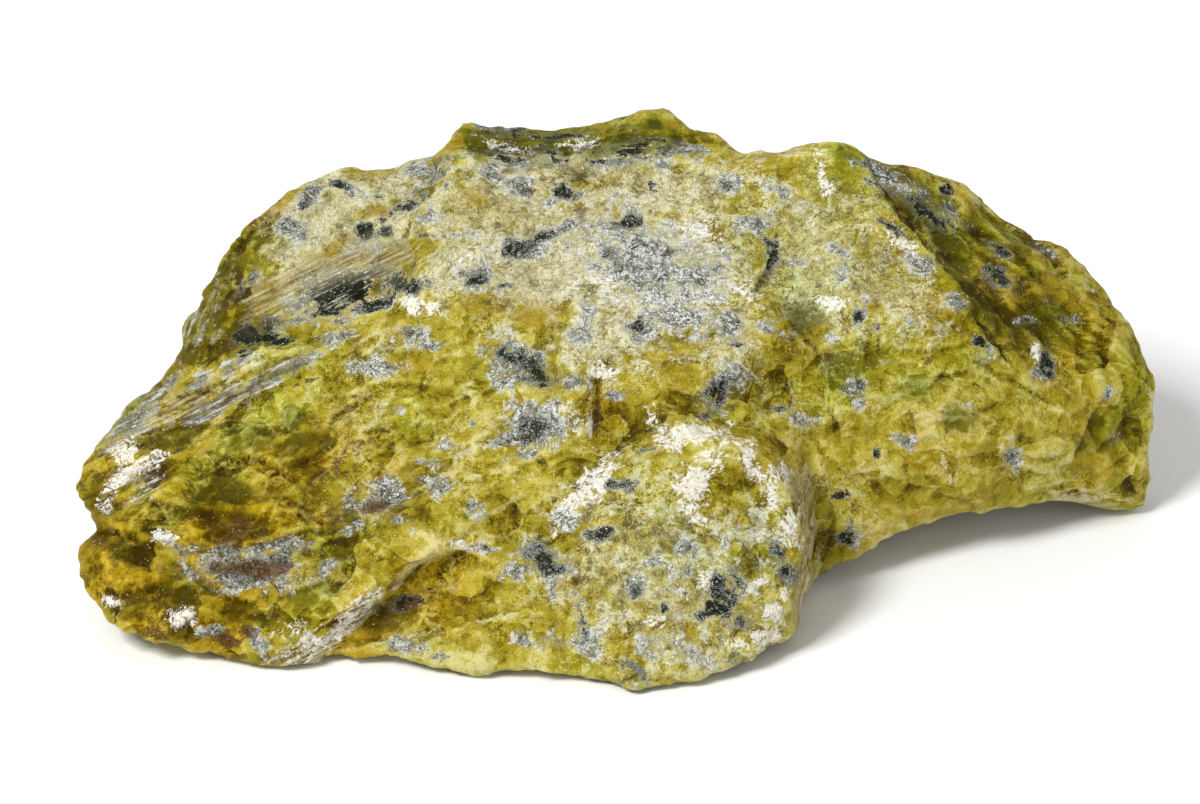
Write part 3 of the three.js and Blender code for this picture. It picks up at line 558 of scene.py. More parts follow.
        Mark(-10.3, 20.9, 1.3, 0.6, -20, GREY), Mark(-3.0, 19.0, 1.1, 0.5, -5, DARK),
        Mark(-4.6, 18.3, 2.0, 0.5, 8, GREY, 0.7), Mark(-2.0, 20.4, 1.4, 0.5, 5, GLASS),
        Mark(4.6, 19.8, 0.9, 0.45, -45, DARK, 0.9), Mark(-7.6, 14.2, 1.2, 0.9, 30, DARK),
        Mark(-7.4, 14.1, 2.3, 1.3, 10, GREY), Mark(-5.0, 15.3, 2.0, 0.4, 10, DARK, 0.7),
        Mark(-3.2, 16.0, 1.9, 0.6, 10, GREY), Mark(2.8, 16.4, 1.8, 0.5, 5, DARK),
        Mark(2.0, 16.0, 2.5, 1.1, 10, GREY), Mark(-11.3, 11.3, 1.2, 0.5, -10, DARK, 0.9),
        Mark(-11.2, 11.4, 1.9, 1.0, -10, GREY), Mark(-8.8, 10.7, 0.9, 0.3, 15, DARK, 0.8),
        Mark(-16.0, 15.3, 1.0, 0.35, -10, DARK), Mark(-14.0, 15.1, 0.8, 0.3, 0, DARK, 0.8),
        Mark(-12.8, 15.3, 1.3, 0.4, 0, GREY, 0.8), Mark(-15.6, 17.0, 1.3, 1.0, 30, GREY, 0.9),
        Mark(3.5, 6.8, 0.6, 1.0, -20, DARK, 0.9), Mark(3.8, 6.7, 1.2, 1.1, 0, GREY),
        Mark(1.3, 13.4, 1.3, 0.8, -30, DARK, 0.5), Mark(11.5, 19.8, 1.3, 0.7, -25, GREY),
        Mark(11.5, 19.7, 0.7, 0.4, -25, DARK, 0.5), Mark(14.0, 16.2, 1.7, 0.8, 0, GREY, 0.9),
        Mark(13.4, 10.0, 1.1, 0.5, -20, CHALK, 0.7), Mark(11.6, 7.0, 1.7, 1.1, 20, GREY),
        Mark(12.8, 5.5, 1.0, 0.5, 0, DARK, 0.7), Mark(16.0, 6.6, 1.4, 0.6, -25, GREY),
        Mark(-5.8, 7.8, 2.2, 1.3, 10, OCHRE), Mark(-11.3, 9.0, 2.0, 1.4, 0, OCHRE, 0.8),
        Mark(-6.4, 12.8, 1.3, 0.5, 0, OCHRE, 0.8), Mark(-11.0, 18.3, 2.6, 1.1, -10, OCHRE),
        Mark(-9.8, 17.0, 3.0, 1.2, 10, OCHRE, 0.6), Mark(0.0, 17.6, 2.0, 0.8, 10, OCHRE, 0.6),
        Mark(13.0, 13.4, 2.6, 1.6, -40, GLASS, 0.5), Mark(10.2, 15.6, 1.2, 0.6, -20, OCHRE, 0.8),
        Mark(12.8, 15.0, 1.6, 0.8, -30, OCHRE, 0.5), Mark(-5.6, 2.4, 2.2, 1.1, -42, DARK),
        Mark(-8.9, 4.4, 1.3, 0.6, -15, DARK), Mark(-7.0, 3.0, 3.4, 1.9, -28, GREY),
        Mark(-2.5, 1.8, 1.2, 0.9, 0, GREY), Mark(-4.4, -1.6, 2.2, 1.5, -10, CHALK, 0.9),
        Mark(-5.2, -1.8, 2.8, 1.8, 0, GREY), Mark(-6.2, -2.2, 0.8, 1.2, 0, DARK, 0.7),
        Mark(-8.7, -3.6, 1.5, 0.5, 20, GREY), Mark(-6.8, -5.0, 1.3, 0.5, 0, GREY, 0.8),
        Mark(-1.8, 6.2, 1.1, 1.0, 0, GREY, 0.9), Mark(-1.2, 8.2, 0.7, 1.2, 0, GREY, 0.7),
        Mark(0.3, 2.9, 1.0, 0.5, 0, CHALK, 0.7), Mark(15.7, 13.4, 0.5, 1.4, -12, DARK),
        Mark(15.5, 14.7, 0.9, 0.4, -35, DARK, 0.9), Mark(1.6, 0.6, 1.2, 0.4, 0, GREY, 0.8),
    ),
    "band": (
        Mark(2.2, -2.0, 1.8, 2.0, 0, GLASS, 0.3), Mark(7.6, 0.8, 3.0, 1.6, 10, GLASS, 0.15),
        Mark(15.2, 2.6, 2.0, 2.2, 0, BROWN, 0.25), Mark(10.3, 0.2, 0.8, 1.5, -25, DARK),
        Mark(10.6, 0.8, 1.3, 2.1, -28, GREY, 0.8), Mark(11.8, 2.2, 1.3, 1.2, 20, GREY, 0.8),
        Mark(14.4, 0.0, 1.0, 2.6, -10, FIBRE, 0.5), Mark(4.6, -1.4, 0.5, 1.0, 10, CHALK, 0.6),
        Mark(5.2, -4.5, 1.4, 0.3, 0, DARK, 0.5), Mark(-0.3, -0.8, 0.25, 2.6, 0, BROWN, 0.7),
        Mark(-0.9, -0.6, 0.4, 2.2, 0, FIBRE, 0.5), Mark(16.2, -0.4, 1.0, 0.4, 10, DARK, 0.5),
    ),
    "bulge": (
        Mark(8.4, -2.9, 2.5, 0.8, 5, CHALK), Mark(5.9, -3.7, 1.3, 0.5, -20, CHALK, 0.8),
        Mark(11.3, -3.5, 1.1, 0.4, 0, CHALK, 0.8), Mark(13.6, -4.7, 0.7, 1.0, 20, CHALK, 0.9),
        Mark(14.4, -6.6, 1.4, 0.7, -45, CHALK, 0.9), Mark(16.2, -6.6, 0.9, 0.6, 0, CHALK),
        Mark(8.7, -7.8, 1.2, 2.0, 0, CHALK), Mark(9.0, -10.8, 0.8, 1.2, 0, CHALK, 0.7),
        Mark(15.7, -8.6, 0.8, 1.5, 25, CHALK, 0.8), Mark(17.0, -11.2, 1.0, 1.6, 10, CHALK, 0.8),
        Mark(14.6, -11.0, 1.4, 0.8, -50, FROST), Mark(10.0, -5.2, 1.4, 1.0, 0, CHALK, 0.7),
        Mark(-1.5, -8.4, 3.1, 0.9, 52, CHALK), Mark(0.6, -6.1, 1.1, 0.5, 20, CHALK),
        Mark(-3.0, -10.8, 1.0, 0.9, 30, GREY), Mark(-2.2, -8.8, 2.4, 1.4, 52, FROST, 0.8),
        Mark(0.0, -11.8, 1.0, 0.7, 10, DARK), Mark(-1.0, -12.2, 0.7, 0.5, 0, GREY),
        Mark(2.0, -7.6, 1.2, 0.6, 0, DARK, 0.6), Mark(-5.0, -14.2, 1.7, 1.0, -25, DARK, 0.8),
        Mark(-5.2, -14.4, 2.4, 1.3, -20, GREY), Mark(-7.2, -15.2, 1.6, 0.7, 15, GREY),
        Mark(-4.4, -16.2, 0.8, 1.1, 0, GREY), Mark(8.1, -13.4, 1.0, 0.9, 30, GREY),
        Mark(8.2, -13.5, 0.6, 0.6, 30, DARK, 0.8), Mark(3.2, -17.2, 1.2, 1.0, 40, GREY),
        Mark(3.2, -17.2, 0.8, 0.6, 40, DARK, 0.6), Mark(4.8, -14.8, 0.9, 0.5, 10, GREY),
        Mark(-2.0, -19.0, 0.5, 2.2, 10, DARK, 0.8), Mark(-1.0, -22.2, 0.6, 1.4, 0, GREY),
        Mark(-3.8, -21.8, 1.5, 0.5, -10, GREY), Mark(-6.8, -22.0, 1.4, 0.6, -20, GREY),
        Mark(5.8, -18.9, 0.5, 0.5, -30, DARK), Mark(5.0, -20.0, 1.1, 0.5, 0, CHALK, 0.8),
        Mark(11.6, -17.6, 1.3, 1.9, 10, DARK), Mark(10.4, -18.8, 1.6, 0.8, 20, DARK),
        Mark(9.8, -16.3, 1.2, 0.6, -10, CHALK), Mark(14.0, -17.0, 1.4, 0.5, 40, CHALK),
        Mark(12.4, -19.9, 2.6, 0.8, -15, DARK, 0.8), Mark(12.0, -18.6, 2.0, 2.2, 0, GREY, 0.6),
        Mark(17.2, -15.4, 0.9, 1.4, 15, DARK, 0.8), Mark(16.4, -13.9, 1.2, 0.6, -30, DARK, 0.6),
        Mark(10.8, -16.9, 0.8, 0.4, 0, CHALK), Mark(15.7, -19.0, 1.0, 0.5, 20, CHALK),
        Mark(16.8, -17.8, 0.5, 0.8, -30, CHALK, 0.9), Mark(12.7, -22.1, 1.1, 0.5, -20, CHALK),
        Mark(15.0, -21.6, 1.8, 1.2, 25, CHALK, 0.9), Mark(12.4, -23.4, 1.1, 0.5, 0, DARK, 0.7),
        Mark(4.6, -22.4, 1.3, 1.0, 0, GREY, 0.8), Mark(8.2, -22.6, 1.8, 1.0, -20, GREY, 0.6),
        Mark(3.0, -24.3, 1.5, 0.7, -35, DARK, 0.7), Mark(8.0, -15.8, 0.6, 1.0, 20, GREY, 0.8),
        Mark(10.0, -14.4, 1.2, 0.8, 0, FROST), Mark(3.0, -12.6, 4.0, 3.0, 0, FROST, 0.5),
        Mark(6.0, -18.0, 7.0, 5.0, 0, FROST, 0.35), Mark(2.4, -25.8, 1.0, 0.5, -20, GREY, 0.8),
        Mark(1.4, -19.0, 2.6, 1.4, 0, FROST, 0.5), Mark(-7.0, -20.0, 2.0, 2.6, 0, OCHRE, 0.35),
        Mark(12.4, -8.6, 1.6, 2.4, 0, OCHRE, 0.4), Mark(13.4, -16.0, 1.2, 0.9, 0, GLASS, 0.4),
        Mark(18.8, -11.0, 0.9, 5.0, 4, FIBRE), Mark(18.6, -18.0, 0.9, 3.4, -14, FIBRE),
    ),
    "summit": (
        Mark(20.0, 16.6, 5.4, 6.4, 0, FROST, 0.55), Mark(26.0, 10.0, 5.4, 4.4, -20, FROST, 0.6),
        Mark(21.0, 9.0, 4.6, 3.0, 0, FROST, 0.5), Mark(16.9, 18.7, 1.6, 0.8, -30, GREY),
        Mark(16.7, 18.8, 0.9, 0.4, -30, DARK, 0.4), Mark(20.4, 20.4, 0.4, 2.0, 8, CHALK, 0.9),
        Mark(28.0, 14.3, 2.2, 0.6, -45, CHALK, 0.8), Mark(29.4, 12.6, 1.4, 0.9, -35, GREY),
        Mark(21.6, 9.1, 1.4, 0.4, -10, CHALK), Mark(23.4, 7.8, 0.6, 0.7, 0, DARK),
        Mark(25.2, 7.0, 0.5, 0.6, 0, DARK), Mark(24.3, 8.8, 0.4, 0.9, 0, GREY),
        Mark(21.7, 13.8, 1.0, 0.5, -20, GREY, 0.9), Mark(18.7, 12.8, 1.0, 0.5, 0, GREY, 0.8),
        Mark(32.6, 9.0, 1.0, 0.8, -40, GREY), Mark(31.6, 6.5, 1.6, 0.9, 0, FROST),
        Mark(29.8, 3.9, 0.4, 0.7, 0, BROWN), Mark(22.0, 11.8, 0.8, 0.8, 0, GREY, 0.6),
        Mark(25.8, 12.2, 0.7, 0.9, 0, BROWN, 0.4), Mark(21.0, 6.0, 0.8, 0.4, 0, GREY, 0.7),
        Mark(23.0, 22.4, 2.4, 0.8, -30, GLASS, 0.7), Mark(18.4, 7.6, 1.6, 1.6, -40, GLASS, 0.8),
        Mark(16.8, 10.4, 1.4, 1.8, 0, GLASS, 0.4), Mark(26.6, 15.9, 1.5, 0.3, -38, DARK),
        Mark(27.4, 15.2, 1.2, 0.2, -42, BROWN, 0.8), Mark(24.4, 20.8, 0.5, 1.4, 25, DARK, 0.5),
        Mark(28.6, 7.4, 0.9, 0.4, -20, GREY, 0.6),
    ),
    "right flank": (
        Mark(27.0, 2.0, 2.0, 2.4, 20, FROST, 0.3), Mark(27.0, 2.0, 2.2, 2.8, 20, LEMON),
        Mark(29.0, 1.1, 1.2, 1.0, 30, GLASS), Mark(22.4, 2.8, 2.4, 1.4, 10, GLASS, 0.8),
        Mark(23.6, 1.3, 1.0, 0.6, 20, GREY), Mark(24.0, 0.0, 0.5, 0.7, 0, GREY, 0.9),
        Mark(27.7, -3.6, 0.9, 0.8, -30, GREY), Mark(37.6, -4.9, 0.8, 1.1, 0, GREY),
        Mark(37.6, -4.6, 0.4, 0.6, 0, DARK, 0.6), Mark(18.9, -1.9, 1.4, 0.6, -10, GREY, 0.6),
        Mark(22.3, -12.4, 0.8, 0.6, 10, DARK), Mark(22.8, -12.2, 1.4, 0.9, 10, GREY, 0.6),
        Mark(25.0, -5.0, 0.25, 0.7, 0, DARK, 0.8), Mark(21.8, -8.6, 0.8, 0.3, 20, DARK, 0.8),
        Mark(31.7, -5.9, 0.3, 1.5, 15, FROST), Mark(21.0, -8.0, 2.6, 5.0, 0, BROWN, 0.3),
        Mark(23.4, -13.2, 3.0, 1.0, 35, OCHRE, 0.6), Mark(30.0, -10.2, 4.6, 0.5, 8, OCHRE, 0.8),
        Mark(35.0, -8.8, 5.0, 0.6, 3, FROST, 0.4), Mark(44.4, -8.7, 3.4, 0.4, -3, FROST),
        Mark(45.2, -9.6, 3.0, 0.5, -8, FIBRE), Mark(33.0, -1.4, 2.0, 1.6, 0, GLASS, 0.6),
        Mark(32.0, -1.0, 1.6, 0.5, 20, GREY, 0.4), Mark(39.0, -3.0, 3.0, 2.0, 0, OCHRE, 0.4),
        Mark(26.4, 3.6, 0.8, 0.3, 0, GREY, 0.6), Mark(35.6, 1.6, 2.4, 1.4, -20, GLASS, 0.4),
        Mark(24.0, -8.0, 2.4, 1.6, 0, FROST, 0.35),
    ),
    "dark face": (
        Mark(31.6, 14.4, 3.4, 1.3, -45, GLASS), Mark(34.6, 9.6, 2.4, 1.5, -38, GLASS),
        Mark(29.0, 17.0, 2.4, 0.8, -38, GLASS), Mark(41.4, 9.6, 4.0, 2.2, -40, GLASS, 0.9),
        Mark(38.0, 6.8, 3.0, 1.8, -20, GLASS, 0.9), Mark(33.0, 12.0, 3.0, 0.8, -45, BROWN, 0.45),
        Mark(36.4, 13.8, 6.0, 3.6, -30, GLASS, 0.45), Mark(41.0, 11.0, 3.4, 1.6, -35, OCHRE, 0.65),
        Mark(38.4, 9.2, 2.6, 1.1, -35, OCHRE, 0.45), Mark(28.4, 19.4, 5.0, 1.6, -33, GLASS, 0.8),
        Mark(25.8, 20.6, 2.2, 0.9, -32, GREY, 0.85), Mark(29.0, 18.6, 3.2, 0.9, -35, GREY, 0.7),
        Mark(26.4, 20.0, 1.5, 0.3, -35, CHALK, 0.7), Mark(28.6, 19.3, 1.4, 0.25, -38, CHALK, 0.6),
        Mark(31.4, 17.4, 2.2, 0.7, -35, GREY, 0.55), Mark(29.8, 17.4, 2.2, 0.6, -35, DARK, 0.9),
        Mark(27.0, 19.0, 1.0, 0.3, -30, DARK, 0.7), Mark(36.4, 11.6, 10.0, 4.2, -38, AMBER, 0.75),
        Mark(31.4, 19.3, 0.6, 0.45, -20, DARK), Mark(36.5, 13.8, 1.2, 0.6, -30, GREY, 0.6),
        Mark(36.3, 14.0, 1.2, 0.7, -20, DARK, 0.8), Mark(37.0, 10.8, 1.1, 0.9, -40, GREY, 0.7),
        Mark(36.7, 11.4, 1.2, 0.9, -40, DARK, 0.85), Mark(39.0, 7.4, 0.8, 0.4, 0, GREY),
        Mark(35.4, 4.6, 1.0, 0.6, -30, GREY, 0.6), Mark(34.8, 5.5, 0.7, 0.45, -30, DARK),
        Mark(39.9, 4.4, 0.6, 0.8, 20, CHALK), Mark(41.0, 3.1, 0.5, 1.1, 15, DARK),
        Mark(40.5, 3.4, 0.8, 1.4, 10, GREY), Mark(40.6, 13.6, 1.0, 0.4, -28, GREY, 0.6),
        Mark(40.4, 9.0, 1.0, 0.6, 0, BROWN, 0.7), Mark(45.2, 10.2, 0.7, 0.4, -42, FROST, 0.8),
        Mark(45.6, 6.0, 2.0, 0.3, -35, FROST, 0.5), Mark(40.0, 12.9, 1.8, 0.7, -10, OCHRE, 0.6),
        Mark(43.0, 12.6, 1.6, 0.5, -25, OCHRE, 0.6), Mark(44.4, 4.4, 2.0, 2.0, 0, FROST, 0.25),
        Mark(42.6, 7.6, 0.9, 0.4, -10, GREY, 0.5), Mark(33.4, 19.0, 1.4, 0.4, -25, OCHRE, 0.6),
        Mark(45.6, -4.0, 2.6, 4.0, 0, AMBER, 0.65), Mark(44.6, -5.4, 0.9, 0.7, 0, OCHRE),
        Mark(45.0, -2.6, 1.6, 2.6, 20, GLASS, 0.4), Mark(46.4, 0.8, 0.7, 0.4, 40, GREY, 0.7),
        Mark(43.8, -3.7, 0.7, 1.0, 20, GLASS, 0.7), Mark(46.9, -3.4, 0.5, 1.0, 0, GREY, 0.5),
        Mark(49.0, 3.0, 1.2, 2.6, 15, AMBER, 0.3), Mark(47.0, -2.0, 4.0, 8.0, 0, LEMON, 0.4),
        Mark(50.4, 0.6, 0.5, 1.6, 10, FROST, 0.7), Mark(34.6, 12.6, 0.6, 1.4, 10, OCHRE, 0.6),
        Mark(37.6, 16.4, 1.4, 0.5, -30, BROWN, 0.6),
    ),
}


# ---------------------------------------------------------------------------------- ledges and cracks


@dataclass(frozen=True)
class Ledge:
    """A line on the leaning plane along which one side stands proud: the left side, going along it.

    Attributes:
        path: Corners of the line, in millimetres.
        height: How far the left side stands proud of the right one, in millimetres.
        reach: How far to each side the step fades away.
        face: Half the width of the step's steep face.
    """

    path: tuple[Point2, ...]
    height: float = 0.35
    reach: float = 1.6
    face: float = 0.22

    def signed_distance(self, across: Array, up: Array) -> Array:
        """Distance to the line, positive to its left and negative to its right.

        Args:
            across: Places across the plane.
            up: Places up the plane.

        Returns:
            Distances in millimetres.
        """
        best = np.full(len(across), FAR)
        side = np.ones(len(across))
        place = np.stack([across, up], axis=1)
        for start, end in zip(self.path[:-1], self.path[1:]):
            a, b = np.array(start), np.array(end)
            run = b - a
            share = np.clip((place - a) @ run / (run @ run), 0.0, 1.0)
            away = place - (a + share[:, None] * run)
            distance = np.hypot(away[:, 0], away[:, 1])
            left = np.sign(run[0] * (place[:, 1] - a[1]) - run[1] * (place[:, 0] - a[0]))
            closer = distance < best
            best = np.where(closer, distance, best)
            side = np.where(closer, left, side)
        return best * np.where(side == 0, 1.0, side)


LEDGES: tuple[Ledge, ...] = (
    # slab below the knob
    Ledge((
        (-33.0, 8.4), (-31.0, 10.2), (-28.0, 11.2),
        (-25.0, 12.2), (-21.5, 13.4), (-18.2, 14.6),
    ), 0.35),
    # ground below the slab
    Ledge((
        (-24.0, 6.6), (-26.0, 5.4), (-28.0, 4.8),
        (-30.4, 4.8), (-33.0, 4.6), (-34.4, 4.0),
    ), 0.4),
    # vein edge, the layer over the bulge and the lower lump
    Ledge((
        (-30.0, -23.6), (-26.0, -20.9), (-22.5, -19.0),
        (-20.6, -17.0), (-18.0, -15.8), (-15.0, -13.6),
    ), 0.4),
    Ledge(((-15.0, -13.6), (-11.0, -11.0), (-7.0, -8.6)), 0.14, 1.0),
    Ledge((
        (-10.4, -17.0), (-8.2, -15.6), (-6.4, -14.2),
        (-4.8, -13.2), (-3.4, -12.2), (-2.0, -10.7),
    ), 0.5, 1.2),
    Ledge(((-9.0, -19.5), (-12.0, -20.2), (-15.0, -21.3), (-20.0, -21.9), (-24.5, -23.2)), 0.5),
    # overlapping layers of the left block and the left slope
    Ledge((
        (-46.0, -11.4), (-44.6, -12.0), (-42.5, -12.6),
        (-40.5, -13.8), (-38.5, -14.6), (-37.0, -15.4),
    ), 0.6),
    Ledge((
        (-38.5, -14.6), (-37.0, -15.4), (-35.0, -17.2),
        (-32.6, -18.2), (-30.6, -18.7), (-28.6, -17.9),
    ), 0.45),
    Ledge(((-43.0, -1.2), (-38.5, 0.6), (-34.5, 1.8), (-30.0, 3.2), (-26.5, 5.0)), 0.35),
    Ledge((
        (-44.8, -8.4), (-42.0, -6.7), (-39.0, -5.6),
        (-35.5, -4.6), (-32.4, -4.9), (-30.6, -5.6),
    ), 0.5),
    Ledge(((-40.6, -9.2), (-37.0, -10.4), (-34.0, -10.2), (-31.6, -10.6)), 0.5),
    Ledge(((-37.0, -13.0), (-34.4, -13.8), (-31.0, -12.9), (-28.4, -12.3)), 0.35),
    Ledge(((-28.6, -1.4), (-26.5, -2.9), (-25.0, -3.1), (-22.6, -2.8)), 0.35, 1.2),
    Ledge(((-30.0, -6.6), (-28.0, -5.6), (-26.2, -5.0), (-24.4, -3.4)), 0.4, 1.2),
    Ledge(((-20.0, 1.6), (-17.6, 1.9), (-15.0, 1.2), (-11.6, 1.6), (-9.0, 0.6)), 0.3, 1.2),
    Ledge((
        (-44.0, -16.6), (-41.0, -17.2), (-39.0, -19.0),
        (-36.4, -19.2), (-34.0, -20.8), (-31.8, -20.6),
    ), 0.45, 1.2),
    Ledge(((-34.4, -18.2), (-32.0, -19.6), (-29.0, -19.2), (-26.0, -19.6)), 0.35, 1.0),
    Ledge(((-23.6, -16.8), (-21.6, -16.0), (-20.6, -13.6), (-21.6, -12.0)), 0.3, 1.0),
    # crown, scarp, bulge and cliff
    Ledge((
        (-13.0, 22.2), (-9.0, 21.8), (-5.0, 22.0),
        (0.0, 21.7), (5.0, 22.3), (10.0, 20.9),
    ), 0.45),
    Ledge(((-12.6, 23.8), (-8.0, 23.2), (-3.0, 23.2), (2.0, 24.2), (7.0, 24.2)), 0.4, 0.9),
    Ledge(((14.6, 11.2), (15.3, 12.2), (15.5, 13.6), (14.8, 15.4), (13.4, 16.6)), 0.5, 1.2),
    Ledge(((19.0, 5.2), (17.4, 7.0), (15.6, 8.9), (14.4, 10.4)), 0.15),
    Ledge((
        (17.8, -18.6), (18.3, -15.0), (18.2, -11.0),
        (17.6, -7.6), (15.6, -5.4), (13.0, -4.0),
    ), 0.45, 1.2),
    Ledge(((13.0, -4.0), (10.0, -3.1), (7.0, -3.4), (4.6, -4.4), (1.6, -6.0)), 0.3, 1.2),
    Ledge(((-0.3, -3.8), (-0.5, -1.6), (-0.2, 0.4), (-0.4, 2.2)), 0.2, 1.0),
    # ridge of the summit, leaf, lower rim of the pale face, and the blunt end
    Ledge((
        (36.4, 4.6), (34.4, 7.0), (33.6, 9.0), (32.0, 11.0),
        (30.6, 13.4), (29.0, 14.9), (27.0, 16.8),
    ), 0.6),
    Ledge(((27.0, 16.8), (25.4, 19.2), (24.2, 21.8)), 0.4),
    Ledge((
        (26.2, 3.6), (25.6, 1.4), (26.6, -0.4),
        (28.4, -1.2), (29.6, 0.4), (30.8, 2.2),
    ), 0.3, 1.0),
    Ledge((
        (16.8, 1.6), (18.8, 3.2), (20.4, 4.6), (24.2, 4.4),
        (27.0, 5.0), (30.4, 4.6), (33.4, 5.4),
    ), 0.25, 1.2),
    Ledge(((43.0, -1.2), (40.6, -0.2), (38.0, 1.4), (35.4, 2.8)), 0.35),
    Ledge(((43.2, -4.8), (44.6, -2.0), (46.4, 1.0), (46.0, 3.4)), 0.4),
    Ledge(((45.0, 7.0), (46.6, 5.6), (47.8, 4.4)), 0.35, 1.0),
    Ledge(((34.2, 13.8), (33.8, 12.4), (35.2, 11.4), (34.4, 10.2)), 0.4, 0.9),
    Ledge(((39.4, 12.0), (41.0, 11.4), (43.4, 12.2)), 0.35, 0.9),
    Ledge(((41.6, -8.4), (44.0, -8.2), (47.0, -8.6), (49.2, -9.4)), 0.4, 0.8),
)


@dataclass(frozen=True)
class Crack:
    """A narrow groove along a line on the leaning plane.

    Attributes:
        path: Corners of the line, in millimetres.
        depth: Depth of the groove, in millimetres.
        width: How far to each side it fades away.
    """

    path: tuple[Point2, ...]
    depth: float = 0.3
    width: float = 0.25


CRACKS: tuple[Crack, ...] = (
    Crack(((-0.2, 2.2), (-0.1, 0.0), (-0.4, -2.0), (-0.1, -3.8)), 0.2, 0.3),
    Crack(((20.2, 1.2), (20.9, -0.4), (21.4, -2.0), (21.9, -3.6)), 0.3, 0.22),
    Crack(((-32.2, -20.8), (-31.4, -22.0), (-30.6, -23.2)), 0.6, 0.4),
    Crack(((25.8, 16.5), (27.0, 15.8), (28.2, 15.0)), 0.6, 0.3),
    Crack(((11.8, -10.2), (13.0, -11.6), (14.2, -13.2)), 0.2, 0.2),
    Crack(((28.0, -5.8), (28.3, -7.8)), 0.25, 0.22),
    Crack(((-46.2, -11.2), (-44.4, -12.1), (-42.6, -12.8)), 0.5, 0.4),
    Crack(((-17.4, 16.2), (-18.0, 14.4), (-17.4, 12.6)), 0.4, 0.35),
    Crack(((-30.0, 2.4), (-28.0, 3.1), (-26.0, 4.4)), 0.3, 0.25),
    Crack(((-36.6, -16.2), (-34.6, -17.6), (-32.4, -18.4)), 0.4, 0.3),
    Crack(((37.6, 2.0), (39.4, 0.9), (41.4, -0.4)), 0.25, 0.22),
    Crack(((31.0, 10.4), (32.2, 8.8), (33.0, 7.4)), 0.2, 0.22),
)


# --------------------------------------------------------------------------------------- the surface


@dataclass(frozen=True)
class Zone(Ellipse):
    """A soft ellipse inside which the surface is worked in one way.

    Attributes:
        strength: How strongly it is worked in the middle.
        full: How many half-axes out that strength still holds.
        fade: How many half-axes out there is nothing left of it.
    """

    turn: float = 0.0
    strength: float = 1.0
    full: float = 0.6
    fade: float = 1.5

    def cover(self, across: Array, up: Array) -> Array:
        """How strongly each place is worked.

        Args:
            across: Places across the plane.
            up: Places up the plane.

        Returns:
            Numbers from 0 to strength.
        """
        return self.strength * smoothstep(self.fade, self.full, self.half_axes_away(across, up))


@dataclass(frozen=True)
class Lamination:
    """Layers seen on edge.

    Attributes:
        climb: How steeply their lines climb to the right, in degrees.
        zones: Where they show.
        spacing: From one layer to the next, in millimetres.
        height: How far a layer's edge stands proud, in millimetres.
        waviness: How far its lines wave, in layers.
    """

    climb: float
    zones: tuple[Zone, ...]
    spacing: float = 0.95
    height: float = 0.42
    waviness: float = 0.8


LAMINATIONS: tuple[Lamination, ...] = (
    Lamination(27.0, (
        Zone(-25.0, 10.6, 8.5, 2.2, 18), Zone(-35.0, 1.2, 10.0, 2.6, 26),
        Zone(-43.0, -5.0, 5.0, 4.0, 30, 0.9), Zone(-25.0, -21.4, 6.5, 1.8, 36),
        Zone(-16.0, -14.0, 6.0, 1.0, 38, 0.8), Zone(-38.0, -6.4, 7.0, 1.6, 24, 0.6),
    )),
    Lamination(0.0, (
        Zone(-2.0, 23.4, 13.0, 1.7, 0, 0.5), Zone(9.0, 22.0, 5.0, 1.6, -6, 0.35),
        Zone(17.0, 22.9, 4.5, 0.7, 8), Zone(44.0, -9.0, 4.5, 1.0, -5, 0.8),
    )),
    Lamination(74.0, (
        Zone(18.8, -12.0, 1.1, 8.0, 2), Zone(-37.5, 7.0, 2.0, 6.0, -32, 0.7),
        Zone(-0.8, -0.6, 0.8, 3.0, 0, 0.9), Zone(14.6, 0.4, 1.2, 3.0, 0, 0.6),
    )),
)


@dataclass(frozen=True)
class Break:
    """How the rock broke inside some zones.

    Attributes:
        scallop: Depth of the bowl-like scars, in millimetres.
        shingle: Height of the steps between overlapping flakes, in millimetres.
        grit: Height of the granular roughness, in millimetres.
        climb: How steeply the flakes' long side climbs to the right, in degrees.
        zones: Where it shows.
    """

    scallop: float
    shingle: float
    grit: float
    climb: float
    zones: tuple[Zone, ...]


COMMON_BREAK = Break(0.9, 0.25, 0.1, 15.0, ())
BREAKS: tuple[Break, ...] = (
    Break(1.7, 0.4, 0.03, 12.0, (Zone(-36.0, -14.0, 13.0, 9.0), Zone(-27.0, -17.0, 8.0, 4.0, 15))),
    Break(1.2, 0.35, 0.06, 22.0, (Zone(-30.0, -3.0, 14.0, 5.0, 10), Zone(-14.0, -3.0, 11.0, 7.0, 0))),
    Break(0.4, 0.12, 0.2, 5.0, (
        Zone(0.0, 12.0, 16.0, 9.0), Zone(-24.0, 17.0, 7.0, 5.0, 20), Zone(12.0, 8.0, 5.0, 6.0),
    )),
    Break(0.4, 0.1, 0.25, 0.0, (Zone(5.0, -14.0, 13.0, 11.0),)),
    Break(0.6, 0.15, 0.14, -20.0, (Zone(21.0, 13.0, 7.0, 9.0), Zone(28.0, 8.0, 6.0, 5.0))),
    Break(1.0, 0.25, 0.06, -12.0, (Zone(30.0, -3.0, 14.0, 7.0), Zone(-13.0, -15.0, 9.0, 6.0, 30))),
    Break(1.3, 0.4, 0.05, -38.0, (Zone(36.0, 11.0, 13.0, 6.0, -38),)),
    Break(0.7, 0.3, 0.03, 75.0, (Zone(48.0, -3.0, 4.0, 9.0), Zone(-35.0, 9.0, 3.0, 8.0, -30))),
)
ROUGHEST_GRIT = 0.25  # the height of grit that is written to the mesh as 1

